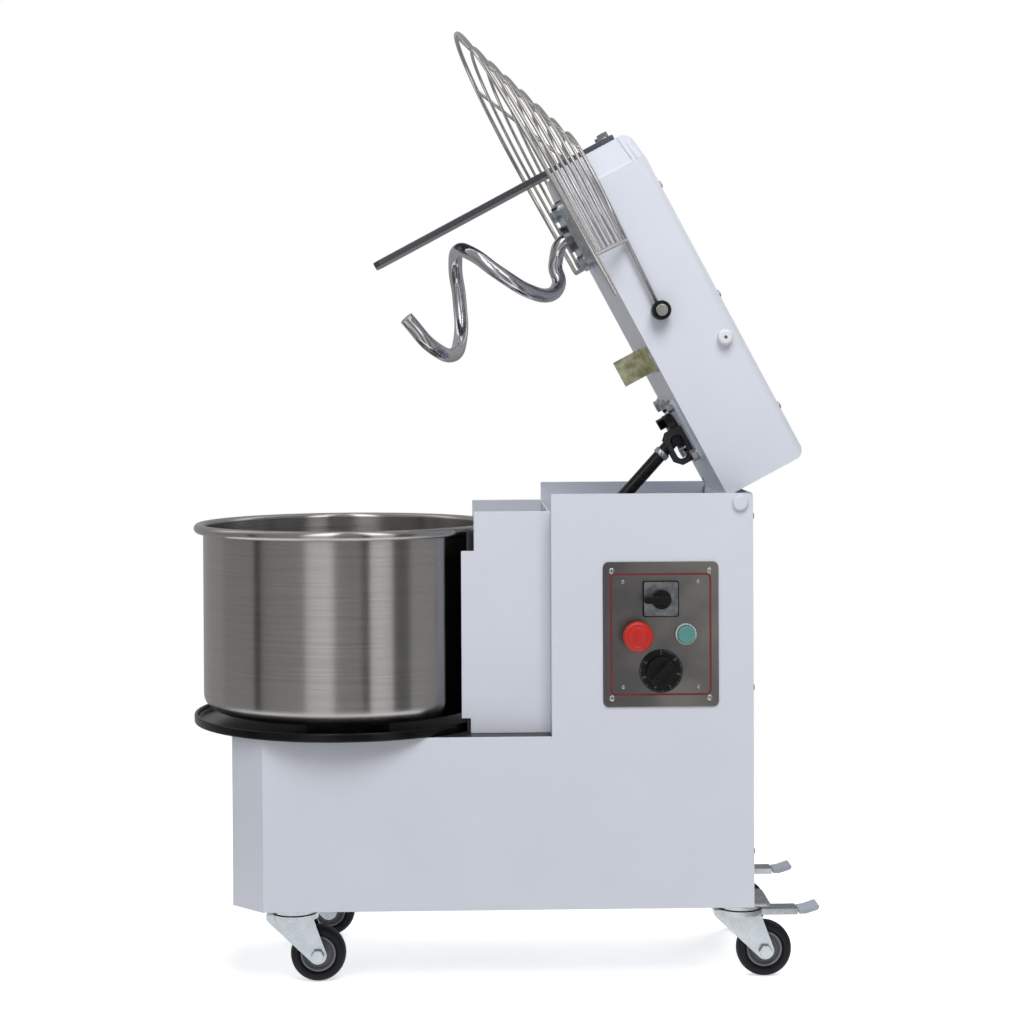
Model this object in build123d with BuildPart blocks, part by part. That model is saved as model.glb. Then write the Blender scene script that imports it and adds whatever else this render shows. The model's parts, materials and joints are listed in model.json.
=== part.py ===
"""Tilting-head spiral dough mixer on castors, drawn with the head raised.

Millimetres, +Z up, +X from the bowl to the column, origin on the floor under the bowl's axis.
Sizes in the head are given along the head: a from the hinge to the nose, h out of its top.
"""

import math
import os

from build123d import *

# Stock and fits
sheet = 2.5                 # body sheet
run_fit = 0.05              # radial gap of a shaft in its bearing
hole_fit = 0.3              # radial gap of a fixed stud in its hole

# Body
body_front = -148.0
body_rear = 551.5
body_width = 356.0
body_bottom = 107.0
front_bevel = 44.5
deck_top = 338.0
column_front = 282.0
column_top = 661.0
column_corner_r = 8.0
rear_flange = 18.0
screw_levels = (630.0, 400.0, 180.0)
screw_r = 5.0
screw_head = 3.0
vent_mid = 300.0            # louvres in the rear cover
vent_length = 150.0
vent_slot = 6.0
vent_pitch = 14.0
vent_count = 8
grille_x = 200.0            # slots under the motor space
grille_length = 120.0
grille_slot = 8.0
grille_pitch = 26.0
grille_count = 7
gland_y = 100.0
gland_z = 160.0
gland_r = 9.7
gland_nut_r = 15.0
gland_bore = 5.5
pocket_floor = 503.0        # top of the tray inside the column
switch_shelf = 592.0        # top of the tray's raised part over the switches
switch_wall_y = 112.0
cheek_width = 292.4         # over the two cheek plates
cheek_gap = 18.2            # cheek plate to the bowl and its rim
cheek_top = 636.4
cheek_tab = 16.0
shield_gap = 9.0            # black sheet behind the bowl, outside its rim

# Bowl
bowl_r = 200.0
bowl_wall = 1.5
bowl_bottom = 356.0
bowl_corner_r = 22.0
rim_z = 608.4
bead_r = 6.6
bead_sink = 0.2             # rolled bead let into the bowl's wall
tray_r = 213.3
tray_lip = 12.0
tray_floor = 4.0
tray_hole_r = 34.0
spindle_r = 17.5
spindle_flange_r = 60.0
bearing_r = 40.0
bearing_flange_r = 58.0
bearing_flange = 9.0
bearing_depth = 55.0

# Hinge and head
hinge_setback = 17.4        # hinge axis to the column's rear face
hinge_z = 648.2
open_angle = 61.9
hinge_shaft_r = 8.0
hinge_sleeve_r = 13.2
head_rear = 9.4
head_front = 511.5
head_width = 251.0
head_floor = -5.4
head_top = 116.0
head_bevel = 39.0
lid_depth = 20.0
lid_edge_r = 15.0
coupling_a = 114.0          # claw coupling along the head
spiral_setback = 87.5       # spiral axis behind the head's nose
bracket_thick = 6.0         # hinge bracket inside the head
bracket_foot = 74.0
bracket_top = 62.0
bracket_width = 220.0
lid_screw_a = (84.0, 257.0, 426.0)
lid_screw_r = 5.5
lid_screw_inset = 21.0
lid_screw_head = 3.2
stop_a = 201.5              # white stop studs of the guard
stop_h = 93.0
stop_r = 10.6
stop_length = 13.0
striker_a = 221.0           # folded striker of the head switch
striker_y = (-14.0, 100.0)
striker_length = 38.0
striker_drop = 44.0
striker_thick = 2.0
hinge_cut_a = 27.0
hinge_cut_h = 20.0
hinge_cut_side = 4.0        # cut beyond the bracket's ends
flange_side = 104.0
flange_corner = 14.0
flange_thick = 12.0
flange_bolt = 38.0
housing_r = 32.0
housing_height = 62.0
coupling_hole = 34.0
coupling_plate_size = (96.0, 196.0)
coupling_plate_corner = 8.0
coupling_plate_thick = 5.0
coupling_sleeve = 48.0
coupling_bolts = (37.5, 78.0)
bolt_hex_r = 8.5
bolt_head = 7.0
washer_r = 9.5
washer_thick = 1.5

# Guard
wire_count = 8
guard_front = 751.0         # nose of the outermost wire
guard_pitch = 28.3          # step between wire noses
guard_half = 217.0          # half width of the outermost wire
guard_corner = 95.0         # bend of the innermost wire
guard_low = (-18.0, -24.6)  # outermost wire: level at the end bars and at the nose
guard_high = (36.6, 43.0)   # innermost wire: level at the end bars and at the nose
guard_side_gap = 9.0        # innermost wire to the head's side
guard_back = 381.0          # end bars along the head
guard_tail = 322.0          # end of the wire tail on the control side
guard_pivot_a = 275.0
guard_pivot_h = 33.0
frame_wire_r = 3.0
wire_r = 2.3

# Hook and breaker bar
rod_r = 10.0
hook_r = 59.0               # axis of the rod round the spindle
hook_top = -26.0
hook_low = -275.0
hook_hub_r = 20.0
hook_hub = 7.0
bar_width = 70.0
bar_thick = 8.0
bar_pad = 3.0               # plate between the bar and the nose
bar_corner = 8.0
bar_end = -280.0
bar_top = 100.0
bar_bolt_y = 22.0
bar_bolt_h = (88.0, 30.0)

# Drive
pulley_mid = 246.0
pulley_width = 24.0
bowl_pulley_r = 125.0
drive_ratio = 5.0
head_pulley_mid = 72.0
input_pulley_r = 64.0
spiral_ratio = 1.6
belt_width = 14.0
belt_thick = 5.0
belt_gap = 0.4
claw_r = 26.0
claw_height = 10.0
claw_disc = 12.0
shaft_r = 15.0
input_r = 12.5
spiral_spindle_r = 18.0
motor_y = 100.0
motor_r = 62.0
motor_length = 150.0
fin_count = 20
fin_height = 8.0
fin_thick = 3.0
fin_length = 95.0
fin_low = 110.0             # fins' lower end under the gearbox
gearbox_low = 415.0
gearbox_height = 75.0
gearbox_width = 130.0
gearbox_end = 55.0
gearbox_corner = 30.0
motor_foot = (150.0, 60.0)

# Strut
strut_y = -46.0
strut_top_a = 106.0
strut_top_h = -28.0
strut_foot_x = 298.0
strut_foot_z = 550.0
strut_eye_r = 9.0
strut_eye = 16.0
strut_rod_r = 5.0
strut_pin_r = 4.0
ear_thick = 4.0
ear_gap = 2.0               # strut eye to the ears beside it
foot_ear_r = 10.0
pin_slot = (36.0, 19.0)     # slot of the ears under the head
ear_reach = (36.0, 14.0)    # ears behind and before the strut's upper pin
ear_drop = 14.0
ear_corner = 8.0
slot_shift = (-11.7, 2.4)   # middle of the slot from the pin

# Control plate
plate_x = 427.5
plate_z = 473.5
plate_width = 154.5
plate_height = 193.5
plate_thick = 2.0
plate_corner = 8.0
plate_screw_inset = 12.0
plate_screw_r = 4.0
rivet_span = (100.5, 140.0)
rivet_r = 2.6
rivet_head = 1.8
cam_plate = 48.0
cam_plate_corner = 3.0
dial_r = 29.0
collar_r = 14.0
ring_wall = 2.0
ring_rise = 3.0
barrel_r = 11.0
contact_block = 34.0
contact_depth = 50.0
pin_r = 5.0
pin_bore = 20.0
mushroom_r = 20.0
mushroom_height = 14.0
cap_travel = 14.0           # mushroom's underside to the plate
timer_r = 20.0

# Castors
caster_setback = (82.0, 11.5)    # kingpins behind the body's front and before its rear
caster_y = 117.0
caster_trail = 32.0
wheel_r = 37.5
wheel_width = 26.0
tyre_edge = 5.0
hub_r = 13.0
web_r = 24.0
web_half = 8.0
axle_r = 6.0
leg_thick = 3.0
leg_gap = 2.5
kingpin_r = 6.0
crown_r = 32.0
crown_thick = 7.0
mount_plate = (72.0, 84.0)
mount_thick = 3.5
race_r = 30.0
race_drop = 13.0            # race's lower face under the body
pedal_width = 34.0

half_width = body_width / 2
caster_front_x = body_front + caster_setback[0]
caster_rear_x = body_rear - caster_setback[1]
inner_half = half_width - sheet
hinge_x = body_rear - hinge_setback
rim_r = bowl_r + 2 * bead_r - bead_sink
spiral_a = head_front - spiral_setback
head_half = head_width / 2
lid_seam = head_top - lid_depth
front_wall_top = hinge_z + head_floor - 10.8
drive_x = hinge_x - coupling_a
drive_pulley_r = bowl_pulley_r / drive_ratio
spiral_pulley_r = input_pulley_r / spiral_ratio
tilt = math.radians(open_angle)
along = Vector(-math.cos(tilt), 0, math.sin(tilt))
upward = Vector(math.sin(tilt), 0, math.cos(tilt))
hinge = Vector(hinge_x, 0, hinge_z)

os.makedirs("parts", exist_ok=True)


def save(piece, name):
    """Label a finished piece and write its file."""
    piece.part.label = name
    export_step(piece.part, f"parts/{name}.step")


def on_head(a, y, h):
    """Point at a along the head, y across it and h above the hinge axis."""
    return hinge + along * a + Vector(0, y, 0) + upward * h


def head_plan(h):
    """Plane parallel to the head's underside at level h; its x runs along the head."""
    return Plane(origin=on_head(0, 0, h), x_dir=along, z_dir=upward)


def head_side(y):
    """Plane of the head's side view at y; its x is a and its y is h, normal to +Y."""
    return Plane(origin=on_head(0, y, 0), x_dir=along, z_dir=(0, 1, 0))


def body_side(y):
    """Plane of the body's side view at y; normal to -Y."""
    return Plane.XZ.offset(-y)


def level(z):
    """Horizontal plane at z."""
    return Plane.XY.offset(z)


def bevelled(x0, x1, half, bevel):
    """Corners of a plan outline bevelled at its x1 end, listed anticlockwise."""
    s = math.copysign(1, x1 - x0)
    return [(x0, -s * half), (x1 - s * bevel, -s * half), (x1, s * (bevel - half)),
            (x1, s * (half - bevel)), (x1 - s * bevel, s * half), (x0, s * half)]


def rod_between(p, q, r, mode=Mode.ADD):
    """Round rod from p to q, added to the piece being built or cut from it."""
    with BuildSketch(Plane(origin=p, z_dir=q - p)) as section:
        Circle(r)
    extrude(section.sketch, amount=(q - p).length, mode=mode)


def biarcs(points, tangents):
    """Smooth chain of arcs through points, added to the line being built."""
    for p0, p1, t0, t1 in zip(points, points[1:], tangents, tangents[1:]):
        v = p1 - p0
        s = t0 + t1
        a2 = 2 * (t0.dot(t1) - 1)
        b2 = -2 * v.dot(s)
        c2 = v.dot(v)
        if abs(a2) < 1e-9:
            d = -c2 / b2
        else:
            d = (-b2 - math.sqrt(b2 * b2 - 4 * a2 * c2)) / (2 * a2)
        q0 = p0 + t0 * d
        q1 = p1 - t1 * d
        mid = (q0 + q1) * 0.5
        for start, corner, end in ((p0, q0, mid), (mid, q1, p1)):
            chord = (start + end) * 0.5
            rise = corner - chord
            if rise.length < 1e-4:
                Line(start, end)
            else:
                c = (end - start).length / 2
                sag = c * math.tan(math.atan2(rise.length, c) / 2)
                ThreePointArc(start, chord + rise.normalized() * sag, end)


# Body panels: two L-shaped sides, a front wrapped over both bevels, deck, bottom and rear cover
side_front = body_front + front_bevel
side_outline = [(side_front, body_bottom), (body_rear, body_bottom), (body_rear, column_top),
                (column_front, column_top), (column_front, deck_top), (side_front, deck_top)]
control_spots = {"cam": (plate_x, plate_z + 47.5), "estop": (plate_x - 32.0, plate_z - 0.5),
                 "start": (plate_x + 33.0, plate_z + 0.5), "timer": (plate_x, plate_z - 49.0)}

for name, outer, inward in (("control_side_panel", -half_width, -1), ("far_side_panel", half_width, 1)):
    with BuildPart() as side_panel:
        with BuildSketch(body_side(outer)):
            Polygon(*side_outline, align=None)
        extrude(amount=inward * sheet)
        top_corners = side_panel.edges().filter_by(Axis.Y).sort_by(Axis.Z)[-2:]
        fillet(top_corners.sort_by(Axis.X)[-1], column_corner_r)
        flange_y = outer - math.copysign(sheet + rear_flange / 2, outer)
        with Locations((body_rear - 1.5 * sheet, flange_y, (body_bottom + column_top) / 2)):
            Box(sheet, rear_flange, column_top - body_bottom - 40)
        with BuildSketch(body_side(outer)):
            with Locations((hinge_x, hinge_z)):
                Circle(hinge_shaft_r + hole_fit)
            if outer < 0:
                with Locations(*control_spots.values()):
                    Circle(barrel_r + hole_fit)
        extrude(amount=inward * sheet, mode=Mode.SUBTRACT)
    save(side_panel, name)

bevel_in = front_bevel - (2 - math.sqrt(2)) * sheet
with BuildPart() as front_panel:
    with BuildSketch(level(body_bottom)):
        Polygon(*bevelled(side_front, body_front, half_width, front_bevel), align=None)
        Polygon(*bevelled(side_front + front_bevel, body_front + sheet, inner_half, bevel_in), align=None,
                mode=Mode.SUBTRACT)
    extrude(amount=deck_top - body_bottom)
save(front_panel, "front_panel")

floor_outline = bevelled(column_front, body_front + sheet, inner_half, bevel_in)
with BuildPart() as deck_plate:
    with BuildSketch(level(deck_top - sheet)):
        Polygon(*floor_outline, align=None)
        Circle(tray_hole_r - 4, mode=Mode.SUBTRACT)
    extrude(amount=sheet)
save(deck_plate, "deck_plate")

bottom_outline = bevelled(body_rear - sheet, body_front + sheet, inner_half, bevel_in)
with BuildPart() as bottom_plate:
    with BuildSketch(level(body_bottom)):
        Polygon(*bottom_outline, align=None)
        with GridLocations(grille_pitch, 0, grille_count, 1):
            with Locations((grille_x, 0)):
                SlotOverall(grille_length, grille_slot, rotation=90, mode=Mode.SUBTRACT)
    extrude(amount=sheet)
save(bottom_plate, "bottom_plate")

with BuildPart() as rear_cover:
    with BuildSketch(Plane.YZ.offset(body_rear - sheet)):
        with Locations((0, (body_bottom + sheet + column_top) / 2)):
            Rectangle(2 * inner_half - 1, column_top - body_bottom - sheet)
        with Locations((gland_y, gland_z)):
            Circle(gland_r + hole_fit, mode=Mode.SUBTRACT)
        with Locations((0, vent_mid)):
            with GridLocations(0, vent_pitch, 1, vent_count):
                SlotOverall(vent_length, vent_slot, mode=Mode.SUBTRACT)
    extrude(amount=sheet)
save(rear_cover, "rear_cover")

# Column: front wall, folded tray with the strut's foot and a raised shelf over the switch compartment
with BuildPart() as column_front_wall:
    with BuildSketch(Plane.YZ.offset(column_front)):
        with Locations((0, (deck_top - sheet + front_wall_top) / 2)):
            Rectangle(2 * inner_half, front_wall_top - deck_top + sheet)
    extrude(amount=sheet)
save(column_front_wall, "column_front_wall")

tray_front = column_front + sheet
tray_rear = body_rear - 2 * sheet
with BuildPart() as column_tray:
    with BuildSketch(Plane.YZ.offset(tray_front)):
        Polygon((inner_half, pocket_floor - sheet), (inner_half, pocket_floor),
                (sheet - switch_wall_y, pocket_floor), (sheet - switch_wall_y, switch_shelf),
                (-inner_half, switch_shelf), (-inner_half, switch_shelf - sheet),
                (-switch_wall_y, switch_shelf - sheet), (-switch_wall_y, pocket_floor - sheet), align=None)
    extrude(amount=tray_rear - tray_front)
    with BuildSketch(level(pocket_floor - sheet)):
        with Locations((drive_x, 0)):
            Circle(claw_r + 4)
    extrude(amount=sheet, mode=Mode.SUBTRACT)
    ear_in = strut_eye / 2 + ear_gap
    for ear_y in (strut_y - ear_in, strut_y + ear_in + ear_thick):
        with BuildSketch(body_side(ear_y)):
            with Locations((strut_foot_x, (pocket_floor + strut_foot_z) / 2)):
                Rectangle(2 * foot_ear_r, strut_foot_z - pocket_floor)
            with Locations((strut_foot_x, strut_foot_z)):
                Circle(foot_ear_r)
        extrude(amount=ear_thick)
    pin_half = ear_in + ear_thick + 2
    with BuildSketch(body_side(strut_y + pin_half)):
        with Locations((strut_foot_x, strut_foot_z)):
            Circle(strut_pin_r)
    extrude(amount=2 * pin_half)
save(column_tray, "column_tray")

# Cheek plates beside the bowl, stepped back from its rim and from the dish
cheek_y = cheek_width / 2
cheek_front = math.sqrt((bowl_r + cheek_gap) ** 2 - cheek_y ** 2)
cheek_rim_x = math.sqrt((rim_r + cheek_gap) ** 2 - cheek_y ** 2)
cheek_dish_x = math.sqrt((tray_r + 14) ** 2 - cheek_y ** 2)
dish_step = deck_top + tray_lip + 8
rim_step = rim_z - 25
cheek_outline = [(column_front, deck_top), (cheek_dish_x, deck_top), (cheek_dish_x, dish_step),
                 (cheek_front, dish_step), (cheek_front, rim_step), (cheek_rim_x, rim_step),
                 (cheek_rim_x, cheek_top), (column_front, cheek_top)]
with BuildPart() as cheeks:
    for side in (-1, 1):
        with BuildSketch(body_side(side * cheek_y)):
            Polygon(*cheek_outline, align=None)
        extrude(amount=side * sheet)
        tab_y = side * (cheek_y - sheet - cheek_tab / 2)
        with Locations((column_front - sheet / 2, tab_y, (deck_top + front_wall_top) / 2)):
            Box(sheet, cheek_tab, front_wall_top - deck_top - 2 * cheek_tab)
save(cheeks, "cheeks")

# Black sheet curved round the back of the bowl, between the cheeks
shield_r = rim_r + shield_gap
with BuildPart() as bowl_shield:
    with BuildSketch(level(deck_top)):
        Circle(shield_r + sheet)
        Circle(shield_r, mode=Mode.SUBTRACT)
        with Locations((shield_r, 0)):
            Rectangle(2 * shield_r, 2 * (cheek_y - sheet), mode=Mode.INTERSECT)
    extrude(amount=rim_z - deck_top)
save(bowl_shield, "bowl_shield")

# Black dish under the bowl
with BuildPart() as bowl_tray:
    with BuildSketch(Plane.XZ):
        Polygon((tray_hole_r, deck_top), (tray_r - 2, deck_top), (tray_r, deck_top + 2),
                (tray_r, deck_top + tray_lip - 1), (tray_r - 1, deck_top + tray_lip),
                (tray_r - 4, deck_top + tray_lip), (tray_r - 6, deck_top + tray_floor),
                (tray_hole_r, deck_top + tray_floor), align=None)
    revolve(axis=Axis.Z)
save(bowl_tray, "bowl_tray")

# Bowl with rolled rim
with BuildPart() as bowl:
    with BuildSketch(Plane.XZ):
        with BuildLine():
            Line((0, bowl_bottom), (bowl_r - bowl_corner_r, bowl_bottom))
            RadiusArc((bowl_r - bowl_corner_r, bowl_bottom), (bowl_r, bowl_bottom + bowl_corner_r),
                      -bowl_corner_r)
            Line((bowl_r, bowl_bottom + bowl_corner_r), (bowl_r, rim_z))
            Line((bowl_r, rim_z), (bowl_r - bowl_wall, rim_z))
            Line((bowl_r - bowl_wall, rim_z), (bowl_r - bowl_wall, bowl_bottom + bowl_corner_r))
            RadiusArc((bowl_r - bowl_wall, bowl_bottom + bowl_corner_r),
                      (bowl_r - bowl_corner_r, bowl_bottom + bowl_wall), bowl_corner_r - bowl_wall)
            Line((bowl_r - bowl_corner_r, bowl_bottom + bowl_wall), (0, bowl_bottom + bowl_wall))
            Line((0, bowl_bottom + bowl_wall), (0, bowl_bottom))
        make_face()
        with Locations((rim_r - bead_r, rim_z)):
            Circle(bead_r)
            Circle(bead_r - bowl_wall, mode=Mode.SUBTRACT)
    revolve(axis=Axis.Z)
save(bowl, "bowl")

# Bowl spindle with its pulley, and the bearing hung under the deck
with BuildPart() as bowl_spindle:
    with BuildSketch(level(bowl_bottom - 8)):
        Circle(spindle_flange_r)
    extrude(amount=8)
    with BuildSketch(level(pulley_mid - pulley_width / 2 - 6)):
        Circle(spindle_r)
    extrude(amount=bowl_bottom - 8 - pulley_mid + pulley_width / 2 + 6)
    with BuildSketch(level(pulley_mid - pulley_width / 2)):
        Circle(2 * spindle_r)
    extrude(amount=pulley_width)
    with BuildSketch(level(pulley_mid - 5)):
        Circle(bowl_pulley_r)
        with PolarLocations(bowl_pulley_r * 0.58, 5):
            Circle(bowl_pulley_r * 0.21, mode=Mode.SUBTRACT)
    extrude(amount=10)
    with BuildSketch(Plane.XZ):
        Polygon((bowl_pulley_r - 10, pulley_mid - 12), (bowl_pulley_r + 5, pulley_mid - 12),
                (bowl_pulley_r + 5, pulley_mid - 8), (bowl_pulley_r, pulley_mid - 8),
                (bowl_pulley_r, pulley_mid + 8), (bowl_pulley_r + 5, pulley_mid + 8),
                (bowl_pulley_r + 5, pulley_mid + 12), (bowl_pulley_r - 10, pulley_mid + 12), align=None)
    revolve(axis=Axis.Z)
save(bowl_spindle, "bowl_spindle")

with BuildPart() as bowl_bearing:
    with BuildSketch(level(deck_top - sheet)):
        Circle(bearing_flange_r)
    extrude(amount=-bearing_flange)
    with BuildSketch(level(deck_top - sheet)):
        Circle(bearing_r)
    extrude(amount=-bearing_depth)
    with BuildSketch(level(deck_top - sheet)):
        Circle(spindle_r + run_fit)
    extrude(amount=-bearing_depth, mode=Mode.SUBTRACT)
save(bowl_bearing, "bowl_bearing")

# Drive shaft with lower pulley and claw, belt and geared motor
claw_floor = hinge_z - 48.0
shaft_low = pulley_mid - pulley_width / 2 - 4


def claw(plane, height, turn):
    """Three jaws standing on a plane around its origin."""
    for k in range(3):
        jaw = turn + 120 * k
        edge = [jaw + 25 * s for s in (-1, -0.5, 0, 0.5, 1)]
        rim = [Vector(claw_r - 1, 0).rotate(Axis.Z, t) for t in edge]
        root = [Vector(claw_r * 0.4, 0).rotate(Axis.Z, t) for t in (edge[-1], edge[0])]
        with BuildSketch(plane) as jaw_face:
            Polygon(*[(p.X, p.Y) for p in rim + root], align=None)
        extrude(jaw_face.sketch, amount=height)


with BuildPart() as drive_shaft:
    with BuildSketch(Plane(origin=(drive_x, 0, shaft_low))):
        Circle(shaft_r)
    extrude(amount=claw_floor - shaft_low)
    with BuildSketch(Plane(origin=(drive_x, 0, claw_floor))):
        Circle(claw_r)
    extrude(amount=claw_disc)
    claw(Plane(origin=(drive_x, 0, claw_floor + claw_disc)), claw_height, 0)
    with BuildSketch(Plane(origin=(drive_x, 0, 0), x_dir=(1, 0, 0), z_dir=(0, -1, 0))):
        drive_flange_r = drive_pulley_r + 5
        Polygon((0, pulley_mid - 12), (drive_flange_r, pulley_mid - 12), (drive_flange_r, pulley_mid - 8),
                (drive_pulley_r, pulley_mid - 8), (drive_pulley_r, pulley_mid + 8),
                (drive_flange_r, pulley_mid + 8), (drive_flange_r, pulley_mid + 12), (0, pulley_mid + 12),
                align=None)
    revolve(axis=Axis((drive_x, 0, 0), (0, 0, 1)))
save(drive_shaft, "drive_shaft")

with BuildPart() as bowl_belt:
    with BuildSketch(level(pulley_mid - belt_width / 2)):
        Circle(bowl_pulley_r + belt_gap + belt_thick)
        with Locations((drive_x, 0)):
            Circle(drive_pulley_r + belt_gap + belt_thick)
        make_hull()
    extrude(amount=belt_width)
    with BuildSketch(level(pulley_mid - belt_width / 2)):
        Circle(bowl_pulley_r + belt_gap)
        with Locations((drive_x, 0)):
            Circle(drive_pulley_r + belt_gap)
        make_hull()
    extrude(amount=belt_width, mode=Mode.SUBTRACT)
save(bowl_belt, "bowl_belt")

with BuildPart() as gearmotor:
    with BuildSketch(level(gearbox_low)):
        with Locations((drive_x, motor_y / 2)):
            RectangleRounded(gearbox_width, motor_y + 2 * gearbox_end, gearbox_corner)
        with Locations((drive_x, 0)):
            Circle(shaft_r + run_fit, mode=Mode.SUBTRACT)
    extrude(amount=gearbox_height)
    with BuildSketch(level(gearbox_low)):
        with Locations((drive_x, motor_y)):
            Circle(motor_r)
    extrude(amount=-motor_length)
    with BuildSketch(level(gearbox_low - fin_low)):
        with Locations((drive_x, motor_y)):
            with PolarLocations(motor_r + 1, fin_count):
                Rectangle(fin_height, fin_thick)
    extrude(amount=fin_length)
    with BuildSketch(Plane.YZ.offset(column_front + sheet)):
        with Locations((0.4 * motor_y, gearbox_low + gearbox_height / 2)):
            Rectangle(*motor_foot)
    extrude(amount=drive_x - column_front - sheet - gearbox_width / 2 + 5)
save(gearmotor, "gearmotor")

# Hinge: fixed shaft across the column, white caps outside
with BuildPart() as hinge_shaft:
    with BuildSketch(body_side(half_width)):
        with Locations((hinge_x, hinge_z)):
            Circle(hinge_shaft_r)
    extrude(amount=body_width)
save(hinge_shaft, "hinge_shaft")

with BuildPart() as hinge_caps:
    for side in (-1, 1):
        with BuildSketch(body_side(side * half_width)):
            with Locations((hinge_x, hinge_z)):
                Circle(10.5)
        extrude(amount=-side * 6)
    fillet(hinge_caps.faces().filter_by(Axis.Y).sort_by(Axis.Y)[0].edges(), 3)
    fillet(hinge_caps.faces().filter_by(Axis.Y).sort_by(Axis.Y)[-1].edges(), 3)
save(hinge_caps, "hinge_caps")

# Control plate, its screws and the four controls
plate_face = half_width + plate_thick
with BuildPart() as panel_plate:
    with BuildSketch(body_side(-half_width)):
        with Locations((plate_x, plate_z)):
            RectangleRounded(plate_width, plate_height, plate_corner)
        with Locations(*control_spots.values()):
            Circle(barrel_r + hole_fit, mode=Mode.SUBTRACT)
    extrude(amount=plate_thick)
save(panel_plate, "panel_plate")

screw_y = inner_half - rear_flange / 2
with BuildPart() as body_screws:
    with BuildSketch(Plane.YZ.offset(body_rear)):
        with Locations(*[(side * screw_y, z) for side in (-1, 1) for z in screw_levels]):
            Circle(screw_r)
    extrude(amount=screw_head)
    screw_tops = body_screws.faces().filter_by(Axis.X).group_by(Axis.X)[-1]
    fillet(screw_tops.edges(), screw_head / 2)
    with BuildSketch(body_side(-plate_face)):
        with Locations((plate_x, plate_z)):
            inset = 2 * plate_screw_inset
            with GridLocations(plate_width - inset, plate_height - inset, 2, 2):
                Circle(plate_screw_r)
            with GridLocations(*rivet_span, 2, 2):
                Circle(rivet_r)
    extrude(amount=rivet_head)
save(body_screws, "body_screws")

block_face = inner_half - 1.0


def barrel(spot, bore):
    """Barrel through the panel and contact block behind it."""
    with BuildSketch(body_side(-plate_face)) as tube:
        with Locations(spot):
            Circle(barrel_r)
    extrude(tube.sketch, amount=-plate_thick - sheet - 1)
    with BuildSketch(body_side(-block_face)) as block:
        with Locations(spot):
            Rectangle(contact_block, contact_block)
    extrude(block.sketch, amount=-contact_depth)
    with BuildSketch(body_side(-plate_face)) as hole:
        with Locations(spot):
            Circle(bore)
    extrude(hole.sketch, amount=-pin_bore, mode=Mode.SUBTRACT)


collars = {"cam_switch_base": ("cam", 4.0), "estop_base": ("estop", 5.0),
           "start_base": ("start", 4.0), "timer_base": ("timer", 1.5)}
for name, (spot, proud) in collars.items():
    with BuildPart() as control_base:
        barrel(control_spots[spot], pin_r + run_fit)
        with BuildSketch(body_side(-plate_face)):
            with Locations(control_spots[spot]):
                if spot == "cam":
                    RectangleRounded(cam_plate, cam_plate, cam_plate_corner)
                elif spot == "timer":
                    Circle(dial_r)
                else:
                    Circle(collar_r)
                Circle(pin_r + run_fit, mode=Mode.SUBTRACT)
        extrude(amount=proud)
        if spot == "start":
            with BuildSketch(body_side(-plate_face - proud)):
                with Locations(control_spots[spot]):
                    Circle(collar_r)
                    Circle(collar_r - ring_wall, mode=Mode.SUBTRACT)
            extrude(amount=ring_rise)
    save(control_base, name)

with BuildPart() as cam_switch_knob:
    cam_x, cam_z = control_spots["cam"]
    with BuildSketch(body_side(-plate_face + 18)):
        with Locations((cam_x, cam_z)):
            Circle(pin_r)
    extrude(amount=18 + 5)
    with BuildSketch(body_side(-plate_face - 5)):
        with Locations((cam_x, cam_z)):
            Circle(13)
    extrude(amount=9)
    with BuildSketch(body_side(-plate_face - 14)):
        with Locations((cam_x - 6, cam_z)):
            SlotOverall(36, 9)
    extrude(amount=12)
save(cam_switch_knob, "cam_switch_knob")

with BuildPart() as estop_button:
    stop_x, stop_z = control_spots["estop"]
    with BuildSketch(body_side(-plate_face + 12)):
        with Locations((stop_x, stop_z)):
            Circle(pin_r)
    extrude(amount=12 + cap_travel)
    with BuildSketch(body_side(-plate_face - cap_travel)):
        with Locations((stop_x, stop_z)):
            Circle(mushroom_r)
    extrude(amount=mushroom_height)
    fillet(estop_button.faces().sort_by(Axis.Y)[0].edges(), 5)
save(estop_button, "estop_button")

with BuildPart() as start_button:
    start_x, start_z = control_spots["start"]
    with BuildSketch(body_side(-plate_face + 12)):
        with Locations((start_x, start_z)):
            Circle(pin_r)
    extrude(amount=12 + 8.5)
    with BuildSketch(body_side(-plate_face - 8.5)):
        with Locations((start_x, start_z)):
            Circle(collar_r - ring_wall - 0.4)
    extrude(amount=4.5)
    fillet(start_button.faces().sort_by(Axis.Y)[0].edges(), 1)
save(start_button, "start_button")

with BuildPart() as timer_knob:
    timer_x, timer_z = control_spots["timer"]
    with BuildSketch(body_side(-plate_face + 18)):
        with Locations((timer_x, timer_z)):
            Circle(pin_r)
    extrude(amount=18 + 2.5)
    with BuildSketch(body_side(-plate_face - 2.5)):
        with Locations((timer_x, timer_z)):
            Circle(timer_r)
    extrude(amount=7, taper=4)
    with BuildSketch(body_side(-plate_face - 9.5)):
        with Locations((timer_x, timer_z)):
            SlotOverall(1.7 * timer_r, 9, rotation=45)
    extrude(amount=11)
save(timer_knob, "timer_knob")

# Cable gland low on the rear cover
gland_stages = [(-16, 16, gland_r), (-14, 8, gland_nut_r), (0, 7, gland_nut_r), (7, 16, gland_nut_r - 3)]
with BuildPart() as cable_gland:
    for start, length, r in gland_stages:
        with BuildSketch(Plane.YZ.offset(body_rear + start)):
            with Locations((gland_y, gland_z)):
                if r == gland_nut_r:
                    RegularPolygon(r, 6)
                else:
                    Circle(r)
        extrude(amount=length)
    with BuildSketch(Plane.YZ.offset(body_rear - 16)):
        with Locations((gland_y, gland_z)):
            Circle(gland_bore)
    extrude(amount=39, mode=Mode.SUBTRACT)
save(cable_gland, "cable_gland")

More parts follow.
